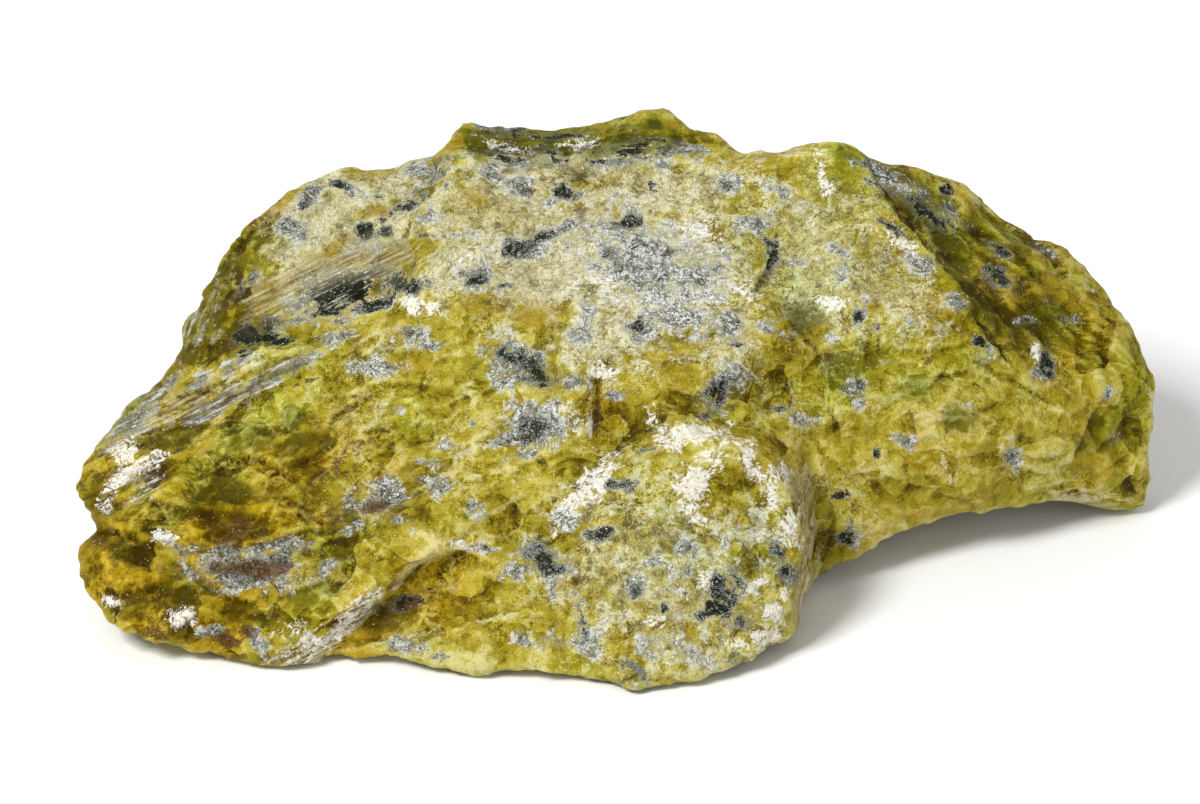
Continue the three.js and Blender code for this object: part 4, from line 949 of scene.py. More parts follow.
STREWN: dict[Mineral, tuple[float, float, float]] = {  # size in millimetres, floor and strength
    FROST: (9.0, 0.15, 0.9),
    CHALK: (3.4, 0.52, 0.9),
    GREY: (3.6, 0.34, 1.0),
    DARK: (2.6, 0.42, 1.0),
    BROWN: (5.0, 0.46, 0.7),
    OCHRE: (6.0, 0.36, 0.7),
    GLASS: (6.5, 0.12, 0.9),
    FIBRE: (7.0, 0.5, 0.6),
}
STREWN_RIM = 0.22  # how far above its floor a noise gives the full strength

BOWL_SIZES = ((8.5, 1.0), (4.2, 0.8), (2.0, 0.4))  # size in millimetres, and share of the height
TILE_SIZES = ((4.6, 1.0), (2.2, 0.5))  # the same for the overlapping flakes
FLAKE_SHAPE = np.array([1.3, 0.95, 1.1])  # a flake's sides against its size: along, up and inward
GRIT_SIZE = 1.15  # in millimetres
LAYER_SHAPE = np.array([7.0, 1.1, 3.0])  # size of the layers' waves along them, across them and inward
LEAST_SHARE = 0.01  # a break with less than this share of a place leaves no scars there
RELIEF_SCALES = ((3, 6.0), (12, 2.6), (60, 1.0))  # smoothing passes, and gain of what they take away


@dataclass
class SurfacePatch:
    """The points of the stone's surface as arrays, with what is known at each of them.

    Attributes:
        points: Where they are, in millimetres, shape (n, 3).
        edges: The pairs of points that are joined, shape (m, 2).
        normals: Which way the surface faces, shape (n, 3).
        tone: A number from 0 to 1 for the flake that each point lies on.
        grit: Height of the granular roughness, in millimetres.
        degree: How many neighbours each point has.
    """

    points: Array
    edges: Array
    normals: Array = field(default_factory=lambda: np.zeros((0, 3)))
    tone: Array = field(default_factory=lambda: np.zeros(0))
    grit: Array = field(default_factory=lambda: np.zeros(0))
    degree: Array = field(init=False)

    def __post_init__(self) -> None:
        """Counts each point's neighbours once, because every smoothing needs the count."""
        self.degree = np.bincount(self.edges.ravel(), minlength=len(self.points)).astype(float)

    def averaged(self, values: Array) -> Array:
        """The mean of each point's neighbours' values.

        Args:
            values: One number or one vector a point.

        Returns:
            The means, in the same shape.
        """
        first, second = self.edges[:, 0], self.edges[:, 1]
        columns = values.reshape(len(values), -1)
        sums = [
            np.bincount(first, weights=column[second], minlength=len(column))
            + np.bincount(second, weights=column[first], minlength=len(column))
            for column in columns.T
        ]
        return (np.stack(sums, axis=1) / self.degree[:, None]).reshape(values.shape)

    def smoothed(self, values: Array, passes: int, share: float = 0.5) -> Array:
        """Values moved towards their neighbours' mean again and again.

        Args:
            values: One number or one vector a point.
            passes: How many times they are moved.
            share: Share of the way that they are moved; below 0 it is away from the mean.

        Returns:
            The moved values.
        """
        for _ in range(passes):
            values = values + share * (self.averaged(values) - values)
        return values


@dataclass
class Stone:
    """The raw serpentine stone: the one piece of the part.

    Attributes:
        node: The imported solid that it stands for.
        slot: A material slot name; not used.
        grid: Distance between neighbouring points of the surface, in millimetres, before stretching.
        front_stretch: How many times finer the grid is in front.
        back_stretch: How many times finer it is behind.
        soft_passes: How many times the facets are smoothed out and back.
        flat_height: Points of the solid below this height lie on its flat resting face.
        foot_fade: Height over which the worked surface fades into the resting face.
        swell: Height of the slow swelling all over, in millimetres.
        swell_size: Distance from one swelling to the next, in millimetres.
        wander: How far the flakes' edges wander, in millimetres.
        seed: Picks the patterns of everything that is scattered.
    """

    node: str = "serpentine_stone"
    slot: str = "stone"
    grid: float = 0.465
    front_stretch: float = 1.32
    back_stretch: float = 0.7
    soft_passes: int = 6
    flat_height: float = 0.12
    foot_fade: float = 0.9
    swell: float = 0.2
    swell_size: float = 7.0
    wander: float = 0.4
    seed: int = 41

    def build(self) -> bpy.types.Object:
        """Makes the worked surface and its mineral numbers.

        Returns:
            The finished mesh object, in metres, at the origin.
        """
        stone = self.gridded(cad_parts[self.node])
        patch = self.patch_of(stone.data)
        LOG.info("surface has %d points", len(patch.points))
        self.soften(patch)
        self.write_points(stone.data, patch)
        self.read_normals(stone.data, patch)
        self.work(patch)
        self.write_points(stone.data, patch)
        self.read_normals(stone.data, patch)
        self.write_numbers(stone.data, patch)
        stone.data.shade_smooth()
        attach(stone, "root")
        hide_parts(self.node)
        return stone

    def gridded(self, solid: bpy.types.Object) -> bpy.types.Object:
        """A copy of the solid laid on an even grid that is finer in front.

        Its loose triangles are joined first. A first grid gives it close points all over, so that it can
        be stretched, and a second grid is laid on the stretched copy, which is then put back.

        Args:
            solid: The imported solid, which isn't changed.

        Returns:
            A new object with the gridded mesh.
        """
        shell = bmesh.new()
        shell.from_mesh(solid.data)
        bmesh.ops.remove_doubles(shell, verts=shell.verts, dist=1e-6)
        mesh = bpy.data.meshes.new("stone_surface")
        shell.to_mesh(mesh)
        shell.free()
        stone = bpy.data.objects.new("stone_surface", mesh)
        bpy.context.scene.collection.objects.link(stone)
        self.remesh(stone, 1.5 * self.grid)
        for undo in (False, True):
            points = self.points_of(stone.data)
            points = PLANE.stretched(points, self.front_stretch, self.back_stretch, undo)
            stone.data.vertices.foreach_set("co", (points * MM).ravel())
            stone.data.update()
            if not undo:
                self.remesh(stone, self.grid)
        return stone

    def remesh(self, stone: bpy.types.Object, size: float) -> None:
        """Lays an even grid on the object, in place of its mesh.

        Args:
            stone: The object, whose old mesh is removed.
            size: Distance between the grid's points, in millimetres.
        """
        grid = stone.modifiers.new("even_grid", "REMESH")
        grid.mode = "VOXEL"
        grid.voxel_size = size * MM
        depsgraph = bpy.context.evaluated_depsgraph_get()
        before = stone.data
        even = bpy.data.meshes.new_from_object(stone.evaluated_get(depsgraph))
        stone.modifiers.clear()
        stone.data = even
        bpy.data.meshes.remove(before)

    def points_of(self, mesh: bpy.types.Mesh) -> Array:
        """The mesh's points.

        Args:
            mesh: A mesh in metres.

        Returns:
            Places in millimetres, shape (n, 3).
        """
        points = np.empty(len(mesh.vertices) * 3)
        mesh.vertices.foreach_get("co", points)
        return points.reshape(-1, 3) / MM

    def patch_of(self, mesh: bpy.types.Mesh) -> SurfacePatch:
        """The mesh's points and edges as arrays.

        Args:
            mesh: A mesh in metres.

        Returns:
            A patch in millimetres, with no normals yet.
        """
        edges = np.empty(len(mesh.edges) * 2, dtype=np.int64)
        mesh.edges.foreach_get("vertices", edges)
        return SurfacePatch(self.points_of(mesh), edges.reshape(-1, 2))

    def write_points(self, mesh: bpy.types.Mesh, patch: SurfacePatch) -> None:
        """Hands the patch's points back to the mesh.

        Args:
            mesh: The mesh, in metres.
            patch: Its points, in millimetres.
        """
        mesh.vertices.foreach_set("co", (patch.points * MM).ravel())
        mesh.update()

    def read_normals(self, mesh: bpy.types.Mesh, patch: SurfacePatch) -> None:
        """Takes the mesh's normals into the patch.

        Args:
            mesh: The mesh, which is up to date.
            patch: Where they go.
        """
        normals = np.empty(len(mesh.vertices) * 3)
        mesh.vertices.foreach_get("normal", normals)
        patch.normals = normals.reshape(-1, 3)

    def soften(self, patch: SurfacePatch) -> None:
        """Takes the straight facet edges off by smoothing out and back, which keeps the size.

        Args:
            patch: The points, which are moved.
        """
        flat = patch.points[:, 2] < self.flat_height
        for _ in range(self.soft_passes):
            patch.points = patch.smoothed(patch.points, 1, 0.55)
            patch.points = patch.smoothed(patch.points, 1, -0.5)
        patch.points[flat, 2] = 0.0

    def work(self, patch: SurfacePatch) -> None:
        """Pushes each point along its normal by all that broke and wore the surface.

        Args:
            patch: The points, which are moved; their tone and grit are filled in.
        """
        start, normals = patch.points.copy(), patch.normals
        across, up, depth = PLANE.flatten(start)
        facing = smoothstep(-0.05, 0.25, -(normals @ PLANE.inward))
        leaning = np.stack([across, up, depth], axis=1)
        broken, patch.tone, patch.grit = self.broken(start, leaning, facing)
        push = self.swell * layered_noise(start, self.swell_size, self.seed, 3) + broken
        push += self.laminae(start, across, up, facing)
        push += self.ledges(across, up, facing, start)
        push -= self.cracks(across, up, facing, start)
        foot = smoothstep(0.02, self.foot_fade, start[:, 2])
        push = patch.smoothed(push * foot, 1, 0.3)
        patch.points = start + normals * push[:, None]
        patch.points[:, 2] = np.maximum(patch.points[:, 2], 0.0)

    def broken(self, start: Array, leaning: Array, facing: Array) -> tuple[Array, Array, Array]:
        """The flake scars: each break's own, in the share of the zones that it has.

        Args:
            start: Places in millimetres.
            leaning: The same places as across, up and depth.
            facing: How much each place faces the front.

        Returns:
            Heights in millimetres, a number from 0 to 1 for each flake, and the grit's height.
        """
        wander = np.stack([layered_noise(start, 2.6, self.seed + 30 + k, 3) for k in range(3)], axis=1)
        shares = []
        for kind in BREAKS:
            covers = [zone.cover(leaning[:, 0], leaning[:, 1]) for zone in kind.zones]
            shares.append(np.max(covers, axis=0) * facing)
        shares.append(np.maximum(1.0 - np.sum(shares, axis=0), 0.0))
        whole = np.sum(shares, axis=0)
        height, tone, grit = (np.zeros(len(start)) for _ in range(3))
        for index, (kind, share) in enumerate(zip((*BREAKS, COMMON_BREAK), shares)):
            near = share > LEAST_SHARE
            part = (share / whole)[near]
            wandering = leaning[near] + self.wander * wander[near]
            scars, own = self.scars(kind, wandering, start[near], self.seed + 400 + 90 * index)
            height[near] += scars * part
            tone[near] += own * part
            grit[near] += kind.grit * part
        return height, tone, grit

    def scars(self, kind: Break, leaning: Array, start: Array, seed: int) -> tuple[Array, Array]:
        """Bowls, steps and grit of one break.

        A bowl is the cells' measure, so bowls meet in sharp ridges. A step is a height of its own for
        each cell, less a slope that lifts the cell's lower edge, as on overlapping tiles. Grit is the same
        bowls turned over and made small.

        Args:
            kind: The break.
            leaning: Places as across, up and depth, wandering a little.
            start: The same places in the stone's frame.
            seed: Picks the pattern.

        Returns:
            Heights in millimetres, and a number from 0 to 1 for each flake.
        """
        angle = np.radians(kind.climb)
        turned = np.stack(
            [
                leaning[:, 0] * np.cos(angle) + leaning[:, 1] * np.sin(angle),
                leaning[:, 1] * np.cos(angle) - leaning[:, 0] * np.sin(angle),
                leaning[:, 2],
            ],
            axis=1,
        )
        drawn = turned / FLAKE_SHAPE
        total, tone = np.zeros(len(start)), np.zeros(len(start))
        for index, (size, share) in enumerate(BOWL_SIZES):
            bowls = Cells.around(drawn / size, seed + 30 * index, 0.9, 0.5)
            total += share * kind.scallop * (bowls.reach - 0.15)
            tone += 0.25 * bowls.key[:, 1]
        for index, (size, share) in enumerate(TILE_SIZES):
            tiles = Cells.around(drawn / size + 7.7, seed + 15 + 30 * index)
            total += share * kind.shingle * (0.8 * (tiles.key[:, 0] - 0.5) - 0.9 * tiles.offset[:, 1])
            tone += 0.125 * tiles.key[:, 1]
        grit = Cells.around(start / GRIT_SIZE, seed + 75, 0.6, 0.6)
        total += 1.6 * kind.grit * (0.3 - grit.reach)
        total += kind.grit * layered_noise(start, 1.6, seed + 80, 2)
        return total, tone

    def laminae(self, start: Array, across: Array, up: Array, facing: Array) -> Array:
        """Layers seen on edge: each rises slowly and drops at once, like a saw tooth.

        Args:
            start: Places in millimetres.
            across: The same places across the leaning plane.
            up: The same places up it.
            facing: How much each place faces the front.

        Returns:
            Heights in millimetres.
        """
        total = np.zeros(len(start))
        depth = (start - np.array(PLANE.origin)) @ PLANE.inward
        for index, lamination in enumerate(LAMINATIONS):
            angle = np.radians(lamination.climb)
            along = across * np.cos(angle) + up * np.sin(angle)
            aside = up * np.cos(angle) - across * np.sin(angle)
            place = np.stack([along, aside, depth], axis=1) / LAYER_SHAPE
            waves = layered_noise(place, 1.0, self.seed + 90 + index, 3)
            wavy = aside / lamination.spacing + lamination.waviness * waves
            tooth = wavy - np.floor(wavy)
            strength = 0.5 + 0.5 * layered_noise(place * 0.7, 1.0, self.seed + 95 + index, 2)
            cover = np.zeros(len(start))
            for zone in lamination.zones:
                cover = np.maximum(cover, zone.cover(across, up))
            total += lamination.height * cover * facing * strength * (tooth - 0.5)
        return total

    def ledges(self, across: Array, up: Array, facing: Array, start: Array) -> Array:
        """Steps along the ledges: proud on one side, sunk on the other, and fading outwards.

        Args:
            across: Places across the leaning plane.
            up: The same places up it.
            facing: How much each place faces the front.
            start: The same places in the stone's frame.

        Returns:
            Heights in millimetres.
        """
        wobble = 0.45 * layered_noise(start, 2.2, self.seed + 110, 3)
        broken = 0.55 + 0.9 * layered_noise(start, 3.4, self.seed + 115, 2)
        total = np.zeros(len(across))
        for ledge in LEDGES:
            near = np.abs(ledge.signed_distance(across, up)) < 4.0 * ledge.reach
            distance = ledge.signed_distance(across[near], up[near]) + wobble[near]
            side = smoothstep(-ledge.face, ledge.face, distance) * 2.0 - 1.0
            fading = np.exp(-np.abs(distance) / ledge.reach)
            total[near] += ledge.height * side * fading * (facing * broken)[near]
        return total

    def cracks(self, across: Array, up: Array, facing: Array, start: Array) -> Array:
        """Grooves along the cracks: a bell curve across each line.

        Args:
            across: Places across the leaning plane.
            up: The same places up it.
            facing: How much each place faces the front.
            start: The same places in the stone's frame.

        Returns:
            Depths in millimetres.
        """
        wobble = 0.2 * layered_noise(start, 1.5, self.seed + 120, 2)
        total = np.zeros(len(across))
        for crack in CRACKS:
            distance = Ledge(crack.path).signed_distance(across, up) + wobble
            groove = crack.depth * np.exp(-((distance / crack.width) ** 2)) * facing
            total = np.maximum(total, groove)
        return total

    def write_numbers(self, mesh: bpy.types.Mesh, patch: SurfacePatch) -> None:
        """Writes minerals, edges, hollows and laminations to the mesh; the finish paints shade from the
        hollows and edges.

        Args:
            mesh: The finished mesh.
            patch: Its points and normals.
        """
        points, normals = patch.points, patch.normals
        across, up, _ = PLANE.flatten(points)
        facing = smoothstep(-0.15, 0.3, -(normals @ PLANE.inward))
        minerals = self.minerals(points, across, up, facing)
        proud = []
        # how far each point stands proud at three scales, which the finish paints as shade in hollows and
        # light on crests
        for passes, gain in RELIEF_SCALES:
            sunk = np.einsum("ij,ij->i", normals, patch.smoothed(points, passes) - points)
            proud.append(np.clip(0.5 - sunk * gain, 0.0, 1.0))
        grain = [
            np.max([zone.cover(across, up) for zone in lamination.zones], axis=0) * facing
            for lamination in LAMINATIONS
        ]
        self.write_colour(mesh, "minerals_light", minerals[:, :4])
        self.write_colour(mesh, "minerals_deep", minerals[:, 4:8])
        self.write_colour(mesh, "minerals_clear", minerals[:, 8:])
        self.write_colour(mesh, "relief", np.stack([*proud, patch.tone], axis=1))
        self.write_colour(mesh, "layers", np.stack([*grain, patch.grit / ROUGHEST_GRIT], axis=1))

    def write_colour(self, mesh: bpy.types.Mesh, name: str, values: Array) -> None:
        """Writes four numbers a point as one colour attribute.

        Args:
            mesh: Where it is written.
            name: What the attribute is called.
            values: The numbers, shape (n, 4).
        """
        attribute = mesh.attributes.new(name, "FLOAT_COLOR", "POINT")
        attribute.data.foreach_set("color", values.astype(np.float32).ravel())

    def minerals(self, points: Array, across: Array, up: Array, facing: Array) -> Array:
        """The amount of each mineral at each point: the drawn marks in front, scattered ones behind.

        Args:
            points: Places in millimetres.
            across: Places across the leaning plane.
            up: Places up the leaning plane.
            facing: How much each point faces the front.

        Returns:
            Numbers from 0 to 1, one column for each Mineral.
        """
        ragged = RAGGEDNESS * layered_noise(points, 1.1, self.seed + 200, 3)
        drift = [layered_noise(points, 1.8, self.seed + 210 + k, 2) for k in range(2)]
        shift = 0.35 * np.stack(drift, axis=1)
        amounts = np.zeros((len(points), len(Mineral)))
        for mark in (mark for group in MARKS.values() for mark in group):
            near = np.hypot(across - mark.across, up - mark.up) < mark.reach
            moved = shift[near] * (-1.0 if mark.mineral is DARK else 1.0)
            cover = mark.cover(across[near] + moved[:, 0], up[near] + moved[:, 1], ragged[near])
            column = amounts[near, mark.mineral.value]
            amounts[near, mark.mineral.value] = np.maximum(column, cover * facing[near])
        return np.maximum(amounts, self.scattered(points) * (1.0 - facing)[:, None])

    def scattered(self, points: Array) -> Array:
        """Patches of the minerals strewn through the stone, for the faces with no drawn marks.

        Each mineral shows where a noise of its own rises above its floor.

        Args:
            points: Places in millimetres.

        Returns:
            Numbers from 0 to 1, one column for each Mineral.
        """
        amounts = np.zeros((len(points), len(Mineral)))
        for mineral, (size, floor, strength) in STREWN.items():
            noise = layered_noise(points, size, self.seed + 300 + 7 * mineral.value, 3)
            amounts[:, mineral.value] = strength * smoothstep(floor, floor + STREWN_RIM, noise)
        return amounts


# ---------------------------------------------------------------------------------------- the finish


def display(red: int, green: int, blue: int) -> Colour:
    """The light that a display colour stands for, by the standard curve of displays.

    Args:
        red: From 0 to 255.
        green: From 0 to 255.
        blue: From 0 to 255.

    Returns:
        Red, green and blue light, from 0 to 1.
    """
    shares = (red / 255, green / 255, blue / 255)
    return tuple(c / 12.92 if c <= 0.04045 else ((c + 0.055) / 1.055) ** 2.4 for c in shares)


@dataclass(frozen=True)
class Wire:
    """One output socket. Arithmetic on it adds Math nodes.

    Attributes:
        graph: The nodes that it belongs to.
        socket: The output itself.
    """

    graph: "Graph"
    socket: bpy.types.NodeSocket

    def __add__(self, other: "Number") -> "Wire":
        """The sum."""
        return self.graph.math("ADD", self, other)

    __radd__ = __add__

    def __sub__(self, other: "Number") -> "Wire":
        """The difference."""
        return self.graph.math("SUBTRACT", self, other)

    def __rsub__(self, other: "Number") -> "Wire":
        """The difference, where the number comes first."""
        return self.graph.math("SUBTRACT", other, self)

    def __mul__(self, other: "Number") -> "Wire":
        """The product."""
        return self.graph.math("MULTIPLY", self, other)

    __rmul__ = __mul__

    def at_least(self, other: "Number") -> "Wire":
        """The larger of the two."""
        return self.graph.math("MAXIMUM", self, other)

    def at_most(self, other: "Number") -> "Wire":
        """The smaller of the two."""
        return self.graph.math("MINIMUM", self, other)


Number = Union[float, Wire]
Paint = Union[Wire, Colour]

PLATE_SIZE = 3.6  # sizes of the cells that the finish is drawn with, in millimetres
GRANULE_SIZE = 1.1
CRYSTAL_SIZE = 0.28
LINE_SHAPE = (6.0, 0.36, 1.8)  # size of a layer's lines along them, across them and inward


class Graph:
    """The nodes of one material."""

    def __init__(self, material: bpy.types.Material) -> None:
        """Empties the material's nodes.

        Args:
            material: The material.
        """
        material.use_nodes = True
        self.tree = material.node_tree
        self.tree.nodes.clear()

    def node(
        self,
        kind: str,
        settings: Optional[dict[str, Any]] = None,
        sockets: Optional[dict[Union[str, int], Any]] = None,
    ) -> bpy.types.Node:
        """Adds a node.

        Args:
            kind: Its type.
            settings: What is set on the node itself, first of all.
            sockets: Values or wires for its inputs, by name or place.

        Returns:
            The new node.
        """
        node = self.tree.nodes.new(kind)
        for name, value in (settings or {}).items():
            setattr(node, name, value)
        for key, value in (sockets or {}).items():
            if isinstance(value, Wire):
                self.tree.links.new(value.socket, node.inputs[key])
            else:
                node.inputs[key].default_value = value
        return node

    def wire(self, node: bpy.types.Node, output: Union[str, int] = 0) -> Wire:
        """One output of a node, as a wire."""
        return Wire(self, node.outputs[output])

    def math(self, operation: str, first: Number, second: Number) -> Wire:
        """A Math node on two values."""
        return self.wire(self.node("ShaderNodeMath", {"operation": operation}, {0: first, 1: second}))

    def step(self, value: Wire, low: float, high: float) -> Wire:
        """A smooth step from 0 to 1.

        Args:
            value: What is stepped.
            low: Where the step starts.
            high: Where it ends, above low.

        Returns:
            A number from 0 to 1.
        """
        settings = {"interpolation_type": "SMOOTHSTEP"}
        sockets = {"Value": value, "From Min": low, "From Max": high}
        return self.wire(self.node("ShaderNodeMapRange", settings, sockets))

    def mix(self, share: Number, first: Paint, second: Paint, blend: str = "MIX") -> Wire:
        """Two colours, mixed.

        Args:
            share: How much of the second there is.
            first: The colour underneath.
            second: The colour on top.
            blend: How the second is laid on the first.

        Returns:
            The mixed colour.
        """
        first, second = (paint if isinstance(paint, Wire) else (*paint, 1.0) for paint in (first, second))
        settings = {"data_type": "RGBA", "blend_type": blend}
        return self.wire(self.node("ShaderNodeMix", settings, {0: share, 6: first, 7: second}), 2)

    def vector(self, operation: str, first: Wire, second: Union[Wire, Sequence[float]]) -> Wire:
        """A Vector Math node on two vectors."""
        return self.wire(self.node("ShaderNodeVectorMath", {"operation": operation}, {0: first, 1: second}))

    def moved(self, place: Wire, amount: Wire, scale: float) -> Wire:
        """Places moved by a vector times scale.

        Args:
            place: Where they are.
            amount: The vector.
            scale: What it is multiplied by.

        Returns:
            The moved places.
        """
        sockets = {0: amount, "Scale": scale}
        scaled = self.wire(self.node("ShaderNodeVectorMath", {"operation": "SCALE"}, sockets))
        return self.vector("ADD", place, scaled)

    def dot(self, first: Wire, second: Union[Wire, Sequence[float]]) -> Wire:
        """The dot product of two vectors."""
        product = self.node("ShaderNodeVectorMath", {"operation": "DOT_PRODUCT"}, {0: first, 1: second})
        return self.wire(product, "Value")

    def noise(self, place: Wire, size: float, detail: float, rough: float, shift: float) -> bpy.types.Node:
        """A noise node. Its Fac is 0.5 on average, and its Color is three such numbers.

        Args:
            place: What it reads, in millimetres.
            size: Its largest features, in millimetres.
            detail: How many finer layers it has.
            rough: How strong the finer layers are.
            shift: Picks the pattern.

        Returns:
            The node.
        """
        far = self.vector("ADD", place, (shift, shift, shift))
        sockets = {"Vector": far, "Scale": 1.0 / size, "Detail": detail, "Roughness": rough}
        return self.node("ShaderNodeTexNoise", {}, sockets)

    def cloud(self, place: Wire, size: float, detail: float, rough: float, shift: float) -> Wire:
        """A noise round 0 that mostly stays between -1 and 1.

        Args:
            place: What it reads, in millimetres.
            size: Its largest features, in millimetres.
            detail: How many finer layers it has.
            rough: How strong the finer layers are.
            shift: Picks the pattern.

        Returns:
            The noise.
        """
        return (self.wire(self.noise(place, size, detail, rough, shift), "Fac") - 0.5) * 5.0

    def cells(self, place: Wire, size: float, feature: str = "F1") -> bpy.types.Node:
        """Cells round scattered points.

        Args:
            place: What they read, in millimetres.
            size: Their size, in millimetres.
            feature: What is measured in them.

        Returns:
            The node.
        """
        sockets = {"Vector": place, "Scale": 1.0 / size}
        return self.node("ShaderNodeTexVoronoi", {"feature": feature}, sockets)

    def cell_tone(self, cells: bpy.types.Node) -> Wire:
        """A number from -0.5 to 0.5 for each cell."""
        split = self.node("ShaderNodeSeparateColor", {}, {0: self.wire(cells, "Color")})
        return self.wire(split, 0) - 0.5

    def facets(self, place: Wire, cells: bpy.types.Node, slope: float) -> Wire:
        """Flat facets, one to a cell, each tilted its own way.

        Args:
            place: What the cells read, in millimetres.
            cells: The cells.
            slope: How steep the steepest are.

        Returns:
            Heights in millimetres.
        """
        away = self.vector("SUBTRACT", place, self.wire(cells, "Position"))
        tilt = self.vector("SUBTRACT", self.wire(cells, "Color"), (0.5, 0.5, 0.5))
        return self.dot(away, tilt) * (2.0 * slope)

    def patch(self, amount: Wire, ragged: Wire, low: float, high: float) -> Wire:
        """Where a mineral shows: its amount with a ragged rim, and nothing where there is none of it.

        Args:
            amount: How much of it there is.
            ragged: Noise that moves the rim in and out.
            low: The least that shows.
            high: Where it is full.

        Returns:
            A share from 0 to 1.
        """
        return self.step(amount + ragged * self.step(amount, 0.0, 0.2), low, high)

    def crossing(self, value: Wire, low: float, high: float) -> Wire:
        """Lines along which a value crosses 0.

        Args:
            value: What crosses it.
            low: Less its distance from 0 where a line ends.
            high: Less its distance from 0 where a line is full.

        Returns:
            A share from 0 to 1.
        """
        return self.step(self.math("ABSOLUTE", value, 0.0) * -1.0, low, high)

    def millimetres(self) -> Wire:
        """Object coordinates in millimetres."""
        place = self.wire(self.node("ShaderNodeTexCoord"), "Object")
        return self.vector("MULTIPLY", place, (1 / MM, 1 / MM, 1 / MM))

    def parts(self, name: str) -> tuple[Wire, Wire, Wire, Wire]:
        """The four numbers of one of the mesh's colour attributes.

        Args:
            name: What the attribute is called.

        Returns:
            Four wires.
        """
        attribute = self.node("ShaderNodeAttribute", {"attribute_name": name})
        split = self.node("ShaderNodeSeparateColor", {}, {0: self.wire(attribute, "Color")})
        return (*(self.wire(split, k) for k in range(3)), self.wire(attribute, "Alpha"))


class Rock:
    """What the finish reads at each place: the mesh's numbers, and the noises that its layers share.

    Attributes:
        graph: Where the nodes are.
        frost, chalk, grey, dark, brown, ochre, glass, fibre: How much there is of each mineral.
        lemon, amber, moss, haze: How much there is of each tone.
        crisp, proud, broad: How far the surface stands proud of what is near, round it and far off; the
            finish paints shade from them, darker in hollows and paler on crests.
        tone: A number from 0 to 1 for each flake.
        grit: How rough the surface is, from 0 to 1.
        layer: How plainly layers show, from 0 to 1.
        streaks: Fine lines along the layers.
        slow, hue, middle, fine, tiny: Noises, from the largest to the smallest.
        crystal: The smallest cells.
        plate_edge: How far away the nearest edge of a plate is.
        plate_tone, crystal_tone: A number from -0.5 to 0.5 for each plate and each crystal.
        slant, chips, crystal_slant: Heights of plates, granules and crystals, each tilted its own way; the
            finish also paints plates and granules lighter where they stand higher, as painted shading.
        wisp, thread: Winding strokes and winding lines.
        ragged: What makes the rims of all patches ragged.
        powder: Where the surface is powdery.
        grain: Fine grain.
        torn: Where the surface is torn, so that it looks busy.
        busy: Grain and strokes, stronger where the surface is torn.
        lens: Where the ground is clear.
        clear: Where nothing powdery covers the ground.
        skin: Where the frosted skin shows.
        stronger: How much there is of the blue-grey mix, dark or not.
    """

    def __init__(self, graph: Graph) -> None:
        """Adds the shared nodes.

        Args:
            graph: Where they are added.
        """
        self.graph = graph
        self.frost, self.chalk, self.grey, self.dark = graph.parts("minerals_light")
        self.brown, self.ochre, self.glass, self.fibre = graph.parts("minerals_deep")
        self.lemon, self.amber, self.moss, self.haze = graph.parts("minerals_clear")
        self.crisp, self.proud, self.broad, self.tone = graph.parts("relief")
        *layered, self.grit = graph.parts("layers")
        self.layer = layered[0].at_least(layered[1]).at_least(layered[2])

        # places, pushed about so that nothing drawn on them is straight
        place = graph.millimetres()
        drift = graph.wire(graph.noise(place, 2.6, 2.0, 0.6, 5.0), "Color")
        shake = graph.wire(graph.noise(place, 0.6, 2.0, 0.6, 8.0), "Color")
        eased = graph.moved(place, drift, 1.4)
        swirled = graph.moved(place, drift, 7.0)
        bent = graph.moved(eased, shake, 0.5)

        # noises and cells
        self.streaks = (self.layer_lines(place, layered) - 0.5) * 6.0
        self.slow = graph.cloud(eased, 5.0, 2.0, 0.5, 0.0)
        self.hue = graph.cloud(eased, 7.5, 2.0, 0.5, 14.0)
        self.middle = graph.cloud(bent, 1.6, 4.0, 0.6, 9.0)
        self.fine = graph.cloud(swirled, 0.7, 3.0, 0.65, 21.0)
        self.tiny = graph.cloud(place, 0.13, 1.0, 0.5, 33.0)
        plate = graph.cells(eased, PLATE_SIZE)
        granule = graph.cells(bent, GRANULE_SIZE)
        self.crystal = graph.cells(bent, CRYSTAL_SIZE)
        self.plate_edge = graph.wire(graph.cells(eased, PLATE_SIZE, "DISTANCE_TO_EDGE"), "Distance")
        self.plate_tone = graph.cell_tone(plate)
        self.crystal_tone = graph.cell_tone(self.crystal)
        self.slant = graph.facets(eased, plate, 0.5)
        self.chips = graph.facets(bent, granule, 0.5)
        self.crystal_slant = graph.facets(bent, self.crystal, 0.35)

        # what several layers of the finish share
        self.wisp = graph.crossing(self.fine, -0.3, 0.0)
        hair = graph.crossing(self.fine - 0.7, -0.2, 0.0)
        strokes = self.wisp * 0.38 - hair * 0.62
        winding = graph.cloud(eased, 2.2, 2.0, 0.5, 27.0) + self.fine * 0.04
        self.thread = graph.crossing(winding, -0.12, -0.01)
        ragged = self.slow * 0.1 + self.middle * 0.24 + self.fine * 0.14 + self.crystal_tone * 0.12
        self.ragged = ragged + self.streaks * 0.3
        dusty = self.haze + self.frost * 0.6 + self.grit * 0.3 + self.slow * 0.25 + self.middle * 0.25
        self.powder = graph.step(dusty, 0.35, 0.85)
        self.grain = self.fine * 0.32 + self.crystal_tone * 1.12 + self.tiny * 0.85
        self.torn = graph.step(self.middle + self.slow, -0.4, 0.5)
        self.busy = (self.grain + strokes) * (0.55 + self.torn * 0.75)
        rim = self.plate_tone * 0.5 + self.ragged * 0.5
        self.lens = self.glass + rim * graph.step(self.glass, 0.0, 0.2)
        self.clear = (self.ochre + self.glass).at_most(1.0)
        torn_rim = self.ragged * 1.5 - self.lemon * 0.3 + (self.crisp - 0.5) * 0.5
        self.skin = graph.patch(self.frost, torn_rim, 0.25, 0.85)
        self.stronger = self.grey.at_least(self.dark)

